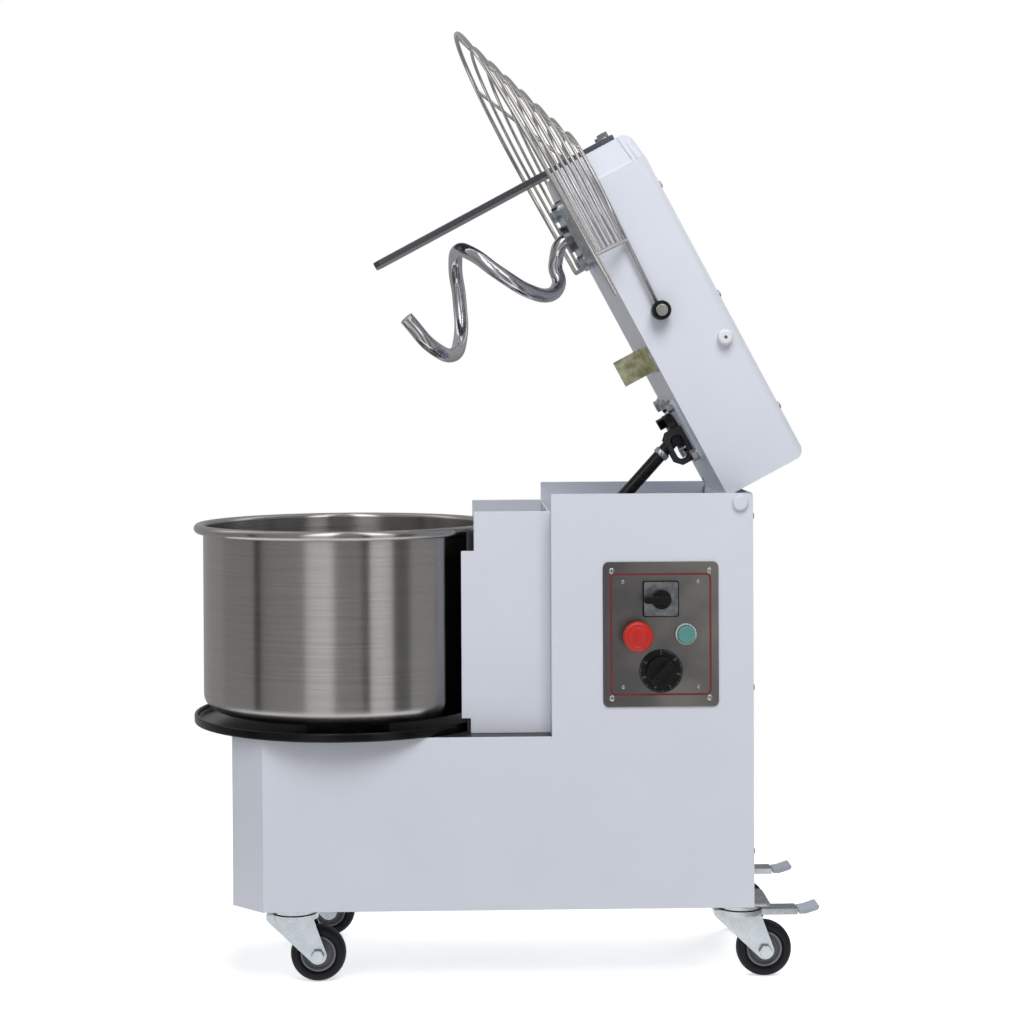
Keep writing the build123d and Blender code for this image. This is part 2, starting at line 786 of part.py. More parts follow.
# Head: tub, drawn lid, screws
head_outline = bevelled(head_rear, head_front, head_half, head_bevel)
head_inside = bevelled(head_rear + sheet, head_front - sheet, head_half - sheet,
                       head_bevel - (2 - math.sqrt(2)) * sheet)
with BuildPart() as head_shell:
    with BuildSketch(head_plan(head_floor)):
        Polygon(*head_outline, align=None)
    extrude(amount=lid_seam - head_floor)
    with BuildSketch(head_plan(head_floor + sheet)):
        Polygon(*head_inside, align=None)
    extrude(amount=lid_seam - head_floor, mode=Mode.SUBTRACT)
    with BuildSketch(head_side(0)):
        with Locations((hinge_cut_a / 2, (head_floor - 1 + hinge_cut_h) / 2)):
            Rectangle(hinge_cut_a, hinge_cut_h - head_floor + 1)
    extrude(amount=bracket_width / 2 + hinge_cut_side, both=True, mode=Mode.SUBTRACT)
    with BuildSketch(head_plan(head_floor)):
        with Locations((spiral_a, 0)):
            Circle(housing_r + hole_fit)
        with Locations((coupling_a, 0)):
            Circle(coupling_hole)
    extrude(amount=sheet, mode=Mode.SUBTRACT)
save(head_shell, "head_shell")

with BuildPart() as head_cover:
    with BuildSketch(head_plan(lid_seam)):
        Polygon(*head_outline, align=None)
    extrude(amount=lid_depth)
    fillet(head_cover.faces().sort_by(Axis(hinge, upward))[-1].edges(), lid_edge_r)
    offset(amount=-sheet, openings=head_cover.faces().sort_by(Axis(hinge, upward))[0])
save(head_cover, "head_cover")

with BuildPart() as head_cover_screws:
    for a in lid_screw_a:
        for side in (-1, 1):
            with BuildSketch(head_plan(head_top)):
                with Locations((a, side * (head_half - lid_screw_inset))):
                    Circle(lid_screw_r)
            extrude(amount=lid_screw_head, taper=18)
save(head_cover_screws, "head_cover_screws")

# Hinge bracket welded into the head's lower rear corner, carrying the sleeve on the shaft
floor_h = head_floor + sheet
wall_a = head_rear + sheet
with BuildPart() as hinge_bracket:
    with BuildSketch(head_side(-bracket_width / 2)):
        foot_top = floor_h + bracket_thick
        web_a = wall_a + bracket_thick
        Polygon((0, -9), (hinge_cut_a - 2, floor_h), (bracket_foot, floor_h), (bracket_foot, foot_top),
                (web_a, foot_top), (web_a, bracket_top), (wall_a, bracket_top), (wall_a, hinge_cut_h - 3),
                (0, 10), align=None)
        Circle(hinge_sleeve_r)
        Circle(hinge_shaft_r + run_fit, mode=Mode.SUBTRACT)
    extrude(amount=bracket_width)
save(hinge_bracket, "hinge_bracket")

# Breaker bar on the head's nose
with BuildPart() as breaker_bar:
    with BuildSketch(Plane(origin=on_head(head_front, 0, bar_top / 2), x_dir=(0, -1, 0), z_dir=along)):
        Rectangle(bar_width, bar_top)
    extrude(amount=bar_pad)
    with BuildSketch(Plane(origin=on_head(head_front + bar_pad, 0, 0), x_dir=(0, -1, 0), z_dir=along)):
        with BuildLine():
            bar_half = bar_width / 2
            Polyline((-bar_half, bar_top), (-bar_half, bar_end + bar_corner),
                     (bar_corner - bar_half, bar_end), (bar_half - bar_corner, bar_end),
                     (bar_half, bar_end + bar_corner), (bar_half, bar_top), close=True)
        make_face()
    extrude(amount=bar_thick)
save(breaker_bar, "breaker_bar")

# Bearing flange of the spiral and bearing plate of the coupling, under the head
flange_low = head_floor - flange_thick
with BuildPart() as spindle_flange:
    with BuildSketch(head_plan(flange_low)):
        with Locations((spiral_a, 0)):
            RectangleRounded(flange_side, flange_side, flange_corner)
    extrude(amount=flange_thick)
    with BuildSketch(head_plan(flange_low)):
        with Locations((spiral_a, 0)):
            Circle(housing_r)
    extrude(amount=housing_height)
    with BuildSketch(head_plan(flange_low)):
        with Locations((spiral_a, 0)):
            Circle(spiral_spindle_r + run_fit)
    extrude(amount=housing_height, mode=Mode.SUBTRACT)
save(spindle_flange, "spindle_flange")

plate_low = head_floor - coupling_plate_thick
with BuildPart() as coupling_plate:
    with BuildSketch(head_plan(plate_low)):
        with Locations((coupling_a, 0)):
            RectangleRounded(*coupling_plate_size, coupling_plate_corner)
    extrude(amount=coupling_plate_thick)
    with BuildSketch(head_plan(head_floor)):
        with Locations((coupling_a, 0)):
            Circle(coupling_hole - hole_fit)
    extrude(amount=coupling_sleeve)
    with BuildSketch(head_plan(plate_low)):
        with Locations((coupling_a, 0)):
            Circle(input_r + run_fit)
    extrude(amount=coupling_plate_thick + coupling_sleeve, mode=Mode.SUBTRACT)
    head_ear_in = ear_in + 0.5
    ear_rear = strut_top_a - ear_reach[0]
    ear_front = strut_top_a + ear_reach[1]
    ear_low = strut_top_h - ear_drop
    for ear_y in (strut_y - head_ear_in - ear_thick, strut_y + head_ear_in):
        with BuildSketch(head_side(ear_y)):
            Polygon((ear_rear, plate_low), (ear_rear, ear_low + ear_corner), (ear_rear + ear_corner, ear_low),
                    (ear_front - ear_corner, ear_low), (ear_front, ear_low + ear_corner),
                    (ear_front, plate_low), align=None)
            with Locations((strut_top_a + slot_shift[0], strut_top_h + slot_shift[1])):
                SlotOverall(*pin_slot, mode=Mode.SUBTRACT)
        extrude(amount=ear_thick)
save(coupling_plate, "coupling_plate")

# Hexagon bolts: under the coupling plate, round the spindle flange, on the breaker bar
bolt_seats = []
for da in (-coupling_bolts[0], coupling_bolts[0]):
    for y in (-coupling_bolts[1], 0, coupling_bolts[1]):
        bolt_seats.append(Plane(origin=on_head(coupling_a + da, y, plate_low), x_dir=along, z_dir=-upward))
for da in (-flange_bolt, flange_bolt):
    for y in (-flange_bolt, flange_bolt):
        bolt_seats.append(Plane(origin=on_head(spiral_a + da, y, flange_low), x_dir=along, z_dir=-upward))
bar_face = head_front + bar_pad + bar_thick
for h in bar_bolt_h:
    for y in (-bar_bolt_y, bar_bolt_y):
        bolt_seats.append(Plane(origin=on_head(bar_face, y, h), x_dir=(0, 1, 0), z_dir=along))
with BuildPart() as head_bolts:
    for seat in bolt_seats:
        with BuildSketch(seat):
            Circle(washer_r)
        extrude(amount=washer_thick)
        with BuildSketch(seat):
            RegularPolygon(bolt_hex_r, 6)
        extrude(amount=washer_thick + bolt_head)
save(head_bolts, "head_bolts")

# Guard pivot bolts and the white stop studs on the head's sides
pivot_bolt_r = 5.0
bush_in = head_half + 2
bush_out = head_half + 22
with BuildPart() as guard_pivot_bolts:
    for side in (-1, 1):
        for start, length, r in ((head_half, 24, pivot_bolt_r), (bush_out + 0.5, 5, 8)):
            with BuildSketch(head_side(side * start)):
                with Locations((guard_pivot_a, guard_pivot_h)):
                    Circle(r)
            extrude(amount=side * length)
save(guard_pivot_bolts, "guard_pivot_bolts")

with BuildPart() as guard_stops:
    for side in (-1, 1):
        with BuildSketch(head_side(side * head_half)):
            with Locations((stop_a, stop_h)):
                Circle(stop_r)
        extrude(amount=side * stop_length)
    fillet(guard_stops.faces().filter_by(Axis.Y).sort_by(Axis.Y)[0].edges(), 4)
    fillet(guard_stops.faces().filter_by(Axis.Y).sort_by(Axis.Y)[-1].edges(), 4)
save(guard_stops, "guard_stops")

# Folded striker for the head switch
with BuildPart() as interlock_bracket:
    with BuildSketch(head_plan(head_floor)):
        with Locations((striker_a, (striker_y[1] + striker_y[0] + striker_thick) / 2)):
            Rectangle(striker_length, striker_y[1] - striker_y[0] - striker_thick)
    extrude(amount=-striker_thick)
    with BuildSketch(head_side(striker_y[0])):
        with Locations((striker_a, head_floor - striker_drop / 2)):
            Rectangle(striker_length, striker_drop)
    extrude(amount=striker_thick)
save(interlock_bracket, "interlock_bracket")

# Head belt, input shaft with upper claw, spiral spindle
with BuildPart() as head_belt:
    with BuildSketch(head_plan(head_pulley_mid - belt_width / 2)):
        with Locations((coupling_a, 0)):
            Circle(input_pulley_r + belt_gap + belt_thick)
        with Locations((spiral_a, 0)):
            Circle(spiral_pulley_r + belt_gap + belt_thick)
        make_hull()
    extrude(amount=belt_width)
    with BuildSketch(head_plan(head_pulley_mid - belt_width / 2)):
        with Locations((coupling_a, 0)):
            Circle(input_pulley_r + belt_gap)
        with Locations((spiral_a, 0)):
            Circle(spiral_pulley_r + belt_gap)
        make_hull()
    extrude(amount=belt_width, mode=Mode.SUBTRACT)
save(head_belt, "head_belt")


def pulley(a, r):
    """Flanged pulley on the head's belt line."""
    for h, rim in ((-12, r + 5), (-8, r), (8, r + 5)):
        with BuildSketch(head_plan(head_pulley_mid + h)) as disc:
            with Locations((a, 0)):
                Circle(rim)
        extrude(disc.sketch, amount=16 if rim == r else 4)


with BuildPart() as input_shaft:
    with BuildSketch(head_plan(-24)):
        with Locations((coupling_a, 0)):
            Circle(input_r)
    extrude(amount=24 + head_pulley_mid + 18)
    with BuildSketch(head_plan(-24)):
        with Locations((coupling_a, 0)):
            Circle(claw_r)
    extrude(amount=claw_disc)
    claw(Plane(origin=on_head(coupling_a, 0, -24), x_dir=along, z_dir=-upward), claw_height, 0)
    pulley(coupling_a, input_pulley_r)
save(input_shaft, "input_shaft")

with BuildPart() as spiral_spindle:
    with BuildSketch(head_plan(hook_top)):
        with Locations((spiral_a, 0)):
            Circle(spiral_spindle_r)
    extrude(amount=head_pulley_mid + 18 - hook_top)
    with BuildSketch(head_plan(hook_top)):
        with Locations((spiral_a, 0)):
            Circle(hook_hub_r)
    extrude(amount=hook_hub)
    pulley(spiral_a, spiral_pulley_r)
save(spiral_spindle, "spiral_spindle")

# Spiral hook: round rod wound round the spindle axis; each row is turn, share of radius, share of drop
hook_stations = [(150, 0.42, 0.106), (172, 0.85, 0.147), (195, 1.0, 0.231), (230, 1.0, 0.331),
                 (270, 1.0, 0.424), (315, 1.0, 0.502), (360, 1.0, 0.56), (405, 1.0, 0.618),
                 (450, 1.02, 0.682), (495, 1.08, 0.77), (540, 1.13, 0.866), (590, 1.11, 0.952),
                 (637, 1.07, 1.0)]
hook_points = []
for turn, reach, drop in hook_stations:
    swing = Vector(hook_r * reach, 0).rotate(Axis.Z, turn)
    hook_points.append(on_head(spiral_a + swing.X, swing.Y, hook_top + (hook_low - hook_top) * drop))
hook_root = on_head(spiral_a, 0, hook_top)
hook_points = [hook_root] + hook_points
hook_tangents = [-upward]
for before, after in zip(hook_points, hook_points[2:]):
    hook_tangents.append((after - before).normalized())
hook_tangents.append((hook_points[-1] - hook_points[-2]).normalized())
with BuildPart() as spiral_hook:
    with BuildLine() as hook_line:
        biarcs(hook_points, hook_tangents)
    with BuildSketch(Plane(origin=hook_root, z_dir=-upward)):
        Circle(rod_r)
    sweep(path=hook_line.line)
save(spiral_hook, "spiral_hook")

# Wire guard: nested U wires stepping up a cone, three ribs and two end bars; the innermost wire
# runs back to the pivot bushes
guard_narrow = head_half + guard_side_gap


def between(first, last, i):
    """Value of wire i when the first and last wires have the given values."""
    return first + (last - first) * i / (wire_count - 1)


wires = []
for i in range(wire_count):
    wide = between(guard_half, guard_narrow, i)
    bend = between(guard_half, guard_corner, i)
    back_end = on_head(guard_back, 0, between(guard_low[0], guard_high[0], i))
    nose_end = on_head(guard_front - guard_pitch * i, 0, between(guard_low[1], guard_high[1], i))
    wires.append((back_end, nose_end - back_end, wide, bend))


def wire_point(i, x, y):
    """Point on the plane of wire i, x from the end bars and y across."""
    back_end, reach, wide, bend = wires[i]
    return back_end + reach.normalized() * x + Vector(0, y, 0)


pivot_reach = guard_pivot_a + 6 - guard_back
with BuildPart() as wire_guard:
    for i, (back_end, reach, wide, bend) in enumerate(wires):
        nose = reach.length
        tails = {0: (0, guard_tail - guard_back), wire_count - 1: (pivot_reach, pivot_reach)}.get(i, (0, 0))
        elbow = bend * math.sqrt(0.5)
        with BuildLine() as wire_line:
            for side, tail in zip((1, -1), tails):
                stops = [(tail, wide), (nose - bend, wide), (nose - bend + elbow, wide - bend + elbow),
                         (nose, wide - bend)]
                p, q, m, n = [wire_point(i, x, side * y) for x, y in stops]
                Line(p, q)
                ThreePointArc(q, m, n)
            if wide - bend > 0.01:
                Line(wire_point(i, nose, wide - bend), wire_point(i, nose, bend - wide))
        start = wire_point(i, tails[0], wide)
        with BuildSketch(Plane(origin=start, z_dir=reach)):
            Circle(frame_wire_r if i in (0, wire_count - 1) else wire_r)
        sweep(path=wire_line.wires()[0])
    for side in (-1, 0, 1):
        ends = []
        for i in (0, wire_count - 1):
            back_end, reach, wide, bend = wires[i]
            if side == 0:
                ends.append(wire_point(i, reach.length, 0))
            else:
                elbow = bend * math.sqrt(0.5)
                ends.append(wire_point(i, reach.length - bend + elbow, side * (wide - bend + elbow)))
        rod_between(ends[0], ends[1], wire_r)
    for side in (-1, 1):
        inner_end = wire_point(wire_count - 1, 0, side * guard_narrow)
        rod_between(wire_point(0, 0, side * guard_half), inner_end, frame_wire_r)
save(wire_guard, "wire_guard")

with BuildPart() as guard_bushes:
    for side in (-1, 1):
        with BuildSketch(head_side(side * bush_in)):
            with Locations((guard_pivot_a, guard_pivot_h)):
                Circle(13)
                Circle(pivot_bolt_r + run_fit, mode=Mode.SUBTRACT)
        extrude(amount=side * (bush_out - bush_in))
        wire_end = wire_point(wire_count - 1, guard_pivot_a + 5.5 - guard_back, side * guard_narrow)
        rod_between(wire_end, wire_end + wires[-1][1], frame_wire_r + run_fit, Mode.SUBTRACT)
save(guard_bushes, "guard_bushes")

# Strut: rod hinged in the column, cylinder running up to the slotted ears under the head
strut_top = on_head(strut_top_a, strut_y, strut_top_h)
strut_foot = Vector(strut_foot_x, strut_y, strut_foot_z)
strut_dir = (strut_top - strut_foot).normalized()
strut_open = (strut_top - strut_foot).length
closed_top = Vector(hinge_x - strut_top_a, strut_y, hinge_z + strut_top_h)
strut_closed = (closed_top - strut_foot).length
cylinder_low = strut_open - strut_closed + 18
rod_length = strut_closed - 16
with BuildPart() as strut_rod:
    with BuildSketch(body_side(strut_y + strut_eye / 2)):
        with Locations((strut_foot_x, strut_foot_z)):
            Circle(strut_eye_r)
    extrude(amount=strut_eye)
    with BuildSketch(Plane(origin=strut_foot, z_dir=strut_dir)):
        Circle(strut_rod_r)
    extrude(amount=rod_length)
    with BuildSketch(body_side(strut_y + strut_eye / 2)):
        with Locations((strut_foot_x, strut_foot_z)):
            Circle(strut_pin_r + run_fit)
    extrude(amount=strut_eye, mode=Mode.SUBTRACT)
save(strut_rod, "strut_rod")

with BuildPart() as strut_cylinder:
    with BuildSketch(Plane(origin=strut_foot + strut_dir * cylinder_low, z_dir=strut_dir)):
        Circle(strut_eye_r)
    extrude(amount=strut_open - cylinder_low - 6)
    with BuildSketch(body_side(strut_y + strut_eye / 2)):
        with Locations((strut_top.X, strut_top.Z)):
            Circle(strut_eye_r)
    extrude(amount=strut_eye)
    with BuildSketch(Plane(origin=strut_foot + strut_dir * cylinder_low, z_dir=strut_dir)):
        Circle(strut_rod_r + run_fit)
    extrude(amount=strut_open - cylinder_low - 13, mode=Mode.SUBTRACT)
    top_pin_half = head_ear_in + ear_thick + 2.5
    with BuildSketch(body_side(strut_y + top_pin_half)):
        with Locations((strut_top.X, strut_top.Z)):
            Circle(strut_pin_r)
    extrude(amount=2 * top_pin_half)
save(strut_cylinder, "strut_cylinder")

# Castors: fixed plates with kingpins, then fork, wheel and rear brake pedal
plate_low_z = body_bottom - mount_thick
race_low = body_bottom - race_drop
crown_top = race_low - 1
crown_low = crown_top - crown_thick
pin_low = crown_low - 6
caster_spots = {"front_near": (caster_front_x, -caster_y), "front_far": (caster_front_x, caster_y),
                "rear_near": (caster_rear_x, -caster_y), "rear_far": (caster_rear_x, caster_y)}
with BuildPart() as caster_plates:
    for x, y in caster_spots.values():
        with BuildSketch(Plane(origin=(x, y, plate_low_z))):
            RectangleRounded(*mount_plate, 6)
        extrude(amount=mount_thick)
        for start, end, r in ((race_low, plate_low_z, race_r), (pin_low, race_low, kingpin_r),
                              (pin_low, crown_low - 1, 11)):
            with BuildSketch(Plane(origin=(x, y, start))):
                Circle(r)
            extrude(amount=end - start)
save(caster_plates, "caster_plates")

leg_in = wheel_width / 2 + leg_gap
for name, (x, y) in caster_spots.items():
    axle_x = x + caster_trail
    braked = name.startswith("rear")
    with BuildPart() as fork:
        with BuildSketch(Plane(origin=(x, y, crown_low))):
            Circle(crown_r)
            with Locations((-5, 0)):
                Rectangle(2 * crown_r, 2 * (leg_in + leg_thick))
            Circle(kingpin_r + run_fit, mode=Mode.SUBTRACT)
        extrude(amount=crown_top - crown_low)
        for side in (-1, 1):
            with BuildSketch(body_side(y + side * leg_in)):
                with Locations((x - crown_r + 1, crown_low + 1), (x + crown_r - 11, crown_low + 1)):
                    Circle(5)
                with Locations((axle_x, wheel_r)):
                    Circle(12)
                make_hull()
            extrude(amount=-side * leg_thick)
        with BuildSketch(body_side(y + leg_in + leg_thick + 5)):
            with Locations((axle_x, wheel_r)):
                Circle(axle_r)
        extrude(amount=2 * (leg_in + leg_thick + 5))
        if braked:
            with Locations((x + 52, y, crown_top - 4)):
                Box(50, 30, 8)
    save(fork, f"fork_{name}")

    with BuildPart() as wheel:
        with BuildSketch(Plane(origin=(axle_x, y, wheel_r), x_dir=(1, 0, 0), z_dir=(0, 0, 1))):
            with BuildLine():
                half_section = [(axle_r + run_fit, leg_in - 0.6), (hub_r, leg_in - 0.6), (hub_r, web_half),
                                (web_r, web_half), (web_r + 1, wheel_width / 2),
                                (wheel_r - tyre_edge, wheel_width / 2), (wheel_r - 1.2, wheel_width / 2 - 3),
                                (wheel_r, tyre_edge)]
                Polyline(*[(r, -w) for r, w in half_section], *reversed(half_section), close=True)
            make_face()
        revolve(axis=Axis((axle_x, y, wheel_r), (0, 1, 0)))
    save(wheel, f"wheel_{name}")

    if braked:
        with BuildPart() as pedal:
            pedal_x = x + caster_trail + 46
            with BuildSketch(body_side(y + pedal_width / 2)):
                Polygon((pedal_x, crown_low), (pedal_x + 10, crown_low), (pedal_x + 26, crown_low + 5),
                        (pedal_x + 29, crown_low + 9), (pedal_x + 27, crown_low + 13),
                        (pedal_x + 9, crown_low + 7), (pedal_x, crown_low + 6), align=None)
            extrude(amount=pedal_width)
        save(pedal, f"pedal_{name}")
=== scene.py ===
"""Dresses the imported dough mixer: finishes, finely modelled pieces, studio and camera."""

import json
import logging
import math
from dataclasses import dataclass
from enum import Enum

import bpy
from mathutils import Matrix, Vector


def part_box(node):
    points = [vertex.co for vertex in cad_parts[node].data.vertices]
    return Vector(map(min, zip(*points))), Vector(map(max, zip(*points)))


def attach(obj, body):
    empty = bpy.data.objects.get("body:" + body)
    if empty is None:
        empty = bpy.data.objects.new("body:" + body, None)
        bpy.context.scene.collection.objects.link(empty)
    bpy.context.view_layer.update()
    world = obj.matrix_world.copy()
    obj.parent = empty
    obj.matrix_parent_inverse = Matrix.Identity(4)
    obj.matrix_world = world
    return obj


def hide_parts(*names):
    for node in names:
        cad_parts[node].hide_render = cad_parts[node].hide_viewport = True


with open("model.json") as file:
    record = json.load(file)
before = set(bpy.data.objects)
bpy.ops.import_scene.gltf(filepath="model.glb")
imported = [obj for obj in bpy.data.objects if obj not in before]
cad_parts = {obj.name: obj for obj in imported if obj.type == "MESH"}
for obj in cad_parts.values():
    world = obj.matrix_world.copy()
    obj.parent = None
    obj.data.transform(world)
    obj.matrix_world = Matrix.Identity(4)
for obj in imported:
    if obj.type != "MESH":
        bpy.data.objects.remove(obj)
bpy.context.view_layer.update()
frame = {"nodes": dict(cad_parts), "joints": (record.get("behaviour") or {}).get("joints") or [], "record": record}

LOG = logging.getLogger("dough_mixer")
MM = 0.001
SIDE_X = Vector((1, 0, 0))
SIDE_Y = Vector((0, 1, 0))
SIDE_Z = Vector((0, 0, 1))
PATTERN_DETAIL = 3.0
PATTERN_ROUGHNESS = 0.55
PATTERN_ENDS = (0.35, 0.65)
SUMMED_ENDS = (0.6, 1.4)
ROUGHNESS_SWING = 0.18
COAT_ROUGHNESS = 0.15
BUMP_DEPTH = 0.2 * MM
QUARTER_TURN = 0.25
WELD_GAP = 1e-6
NODE_WELD_GAP = 2e-6
FLAT_DEG = 0.5
BEND_DEG = (30, 60)
BEND_FACETS = 5
ALONG_BEND = 0.999
ROUND_DEG = 40.0
SHADE_MARGIN_DEG = 8.0
LOOKS_DOWN = -0.9

Profile = list[tuple[float, float]]
Outline = list[tuple[float, float]]


class Grain(Enum):
    """How a surface was made: the stretch of its fine pattern along x, y and z."""

    EVEN = (1.0, 1.0, 1.0)
    LEVEL_LINES = (0.015, 0.015, 1.0)
    UPRIGHT_LINES = (1.0, 1.0, 0.02)
    ACROSS_LINES = (0.02, 1.0, 1.0)


def linear(colour: str) -> tuple[float, float, float, float]:
    """Turn an sRGB hex colour into linear RGBA.

    Args:
        colour: Six hex digits after a hash.

    Returns:
        Linear red, green and blue with an alpha of one.
    """
    channels = [int(colour[i:i + 2], 16) / 255 for i in (1, 3, 5)]
    return tuple(c / 12.92 if c <= 0.04045 else ((c + 0.055) / 1.055) ** 2.4 for c in channels) + (1.0,)


def add_node(tree: bpy.types.NodeTree, kind: str, settings: dict | None = None, **inputs) -> bpy.types.Node:
    """Add a node, set it and link it.

    Args:
        tree: Node tree that gets the node.
        kind: Node type.
        settings: Attributes to set on the node.
        **inputs: Values or output sockets by input name, with underscores for spaces; in0 is input 0.

    Returns:
        The new node.
    """
    node = tree.nodes.new(kind)
    for key, value in (settings or {}).items():
        setattr(node, key, value)
    for key, value in inputs.items():
        numbered = key.startswith("in") and key[2:].isdigit()
        socket = node.inputs[int(key[2:]) if numbered else key.replace("_", " ")]
        if isinstance(value, bpy.types.NodeSocket):
            tree.links.new(value, socket)
        else:
            socket.default_value = value
    return node


@dataclass(frozen=True)
class Finish:
    """A real material and how its surface was made.

    Attributes:
        name: Name of the material.
        colour: Base colour in sRGB hex.
        roughness: Mean roughness.
        grain: Stretch of the fine pattern.
        metallic: 1 for bare metal.
        specular: Specular level, where it isn't a metal.
        coat: Weight of a clear coat.
        pattern_mm: Size of the fine pattern.
        relief: Strength of the fine pattern's bump.
        cloud_mm: Size of the clouds.
        cloud_colour: Second colour in the clouds, if there is one.
        spread: Share by which the base colour varies.
        round_polish: Anisotropy of a polish round the z axis.
        tilt_deg: Tilt of the patterns about y.
    """

    name: str
    colour: str
    roughness: float
    grain: Grain = Grain.EVEN
    metallic: float = 0.0
    specular: float = 0.5
    coat: float = 0.0
    pattern_mm: float = 1.0
    relief: float = 0.05
    cloud_mm: float = 110.0
    cloud_colour: str = ""
    spread: float = 0.03
    round_polish: float = 0.0
    tilt_deg: float = 0.0

    def build(self) -> bpy.types.Material:
        """Make the material, unless it exists already.

        Returns:
            The material.
        """
        known = bpy.data.materials.get(self.name)
        if known:
            return known
        material = bpy.data.materials.new(self.name)
        material.use_nodes = True
        tree = material.node_tree
        shader = tree.nodes["Principled BSDF"]
        shader.inputs["Metallic"].default_value = self.metallic
        if not self.metallic:
            shader.inputs["Specular IOR Level"].default_value = self.specular
        shader.inputs["Coat Weight"].default_value = self.coat
        shader.inputs["Coat Roughness"].default_value = COAT_ROUGHNESS
        place = add_node(tree, "ShaderNodeTexCoord").outputs["Object"]
        if self.tilt_deg:
            tilted = add_node(tree, "ShaderNodeVectorRotate", {"rotation_type": "Y_AXIS"}, Vector=place,
                              Angle=math.radians(-self.tilt_deg))
            place = tilted.outputs["Vector"]
        stretched = add_node(tree, "ShaderNodeMapping", Vector=place, Scale=self.grain.value)
        fine = add_node(tree, "ShaderNodeTexNoise", Vector=stretched.outputs["Vector"],
                        Scale=1 / (self.pattern_mm * MM), Detail=PATTERN_DETAIL,
                        Roughness=PATTERN_ROUGHNESS).outputs["Fac"]
        cloud = add_node(tree, "ShaderNodeTexNoise", Vector=place, Scale=1 / (self.cloud_mm * MM),
                         Detail=PATTERN_DETAIL).outputs["Fac"]
        both = add_node(tree, "ShaderNodeMath", {"operation": "ADD"}, in0=fine, in1=cloud)
        rough = add_node(tree, "ShaderNodeMapRange", Value=both.outputs["Value"],
                         From_Min=SUMMED_ENDS[0], From_Max=SUMMED_ENDS[1],
                         To_Min=(1 - ROUGHNESS_SWING) * self.roughness,
                         To_Max=(1 + ROUGHNESS_SWING) * self.roughness)
        tree.links.new(rough.outputs["Result"], shader.inputs["Roughness"])
        self._tint(tree, shader, cloud if self.grain is Grain.EVEN or self.cloud_colour else fine)
        bump = add_node(tree, "ShaderNodeBump", Height=fine, Strength=self.relief, Distance=BUMP_DEPTH)
        tree.links.new(bump.outputs["Normal"], shader.inputs["Normal"])
        if self.round_polish:
            shader.inputs["Anisotropic"].default_value = self.round_polish
            shader.inputs["Anisotropic Rotation"].default_value = QUARTER_TURN
            tangent = add_node(tree, "ShaderNodeTangent", {"direction_type": "RADIAL", "axis": "Z"})
            tree.links.new(tangent.outputs["Tangent"], shader.inputs["Tangent"])
        return material

    def _tint(self, tree: bpy.types.NodeTree, shader: bpy.types.Node, pattern: bpy.types.NodeSocket) -> None:
        """Vary the base colour a little, or towards a second colour in clouds.

        Args:
            tree: The material's nodes.
            shader: Its shader node.
            pattern: Pattern between 0 and 1 that drives the change.
        """
        base = linear(self.colour)
        darker = tuple(c * (1 - self.spread) for c in base[:3]) + (1.0,)
        lighter = tuple(min(1.0, c * (1 + self.spread)) for c in base[:3]) + (1.0,)
        ends = (base, linear(self.cloud_colour)) if self.cloud_colour else (darker, lighter)
        ramp = add_node(tree, "ShaderNodeValToRGB", Fac=pattern)
        for element, stop, colour in zip(ramp.color_ramp.elements, PATTERN_ENDS, ends):
            element.position = stop
            element.color = colour
        tree.links.new(ramp.outputs["Color"], shader.inputs["Base Color"])


# Powder-coated steel sheet: cold white satin with a faint orange peel
POWDER_WHITE = Finish("powder_coated_steel", "#d9dde7", 0.36, coat=0.1, pattern_mm=1.6, spread=0.01)
# Stainless bowl polished on a lathe: a soft mirror smeared upwards, with level lines drawn coarser than real
BOWL_STEEL = Finish("stainless_lathe_polished", "#b4b2b0", 0.22, Grain.LEVEL_LINES, 1.0, pattern_mm=2.4,
                    relief=0.01, spread=0.04, round_polish=0.95)
# Polished stainless rod and wire: crisp bright and dark streaks
ROD_STEEL = Finish("stainless_rod_polished", "#cdcdd0", 0.14, metallic=1.0, relief=0.0, spread=0.04,
                   cloud_mm=30.0)
WIRE_STEEL = Finish("stainless_wire_polished", "#c2c0bd", 0.13, metallic=1.0, relief=0.0, spread=0.04,
                    cloud_mm=40.0)
# Flat bar with lengthwise mill lines, drawn coarser than real: dark grey with a streaky shine
BAR_STEEL = Finish("stainless_flat_bar", "#6c6c74", 0.27, Grain.UPRIGHT_LINES, 1.0, pattern_mm=0.9,
                   spread=0.06, tilt_deg=61.9)
# Brushed stainless plate: level strokes, drawn coarser than real, under soft warm clouds
PLATE_STEEL = Finish("stainless_brushed_plate", "#7d7b7c", 0.36, Grain.ACROSS_LINES, 1.0, pattern_mm=0.7,
                     relief=0.06, cloud_mm=75.0, cloud_colour="#98948e")
# Machined steel of shafts and bearings: plain grey shine with tool marks drawn coarser than real
TURNED_STEEL = Finish("turned_steel", "#8a8a8c", 0.32, metallic=1.0, pattern_mm=0.8, relief=0.04, spread=0.05)
# Bright zinc on pressings and nickel on screws: pale and a little cloudy
ZINC = Finish("zinc_plated_steel", "#b6bcc0", 0.27, metallic=1.0, pattern_mm=2.5, relief=0.012, spread=0.07,
              cloud_mm=14.0)
NICKEL = Finish("nickel_plated_screw", "#c3c2bf", 0.2, metallic=1.0, relief=0.02, spread=0.05, cloud_mm=6.0)
# Yellow passivated zinc: olive to straw in clouds
YELLOW_ZINC = Finish("yellow_passivated_zinc", "#a9a77e", 0.36, metallic=0.7, pattern_mm=3.0, relief=0.04,
                     cloud_mm=11.0, cloud_colour="#dcd9ba")
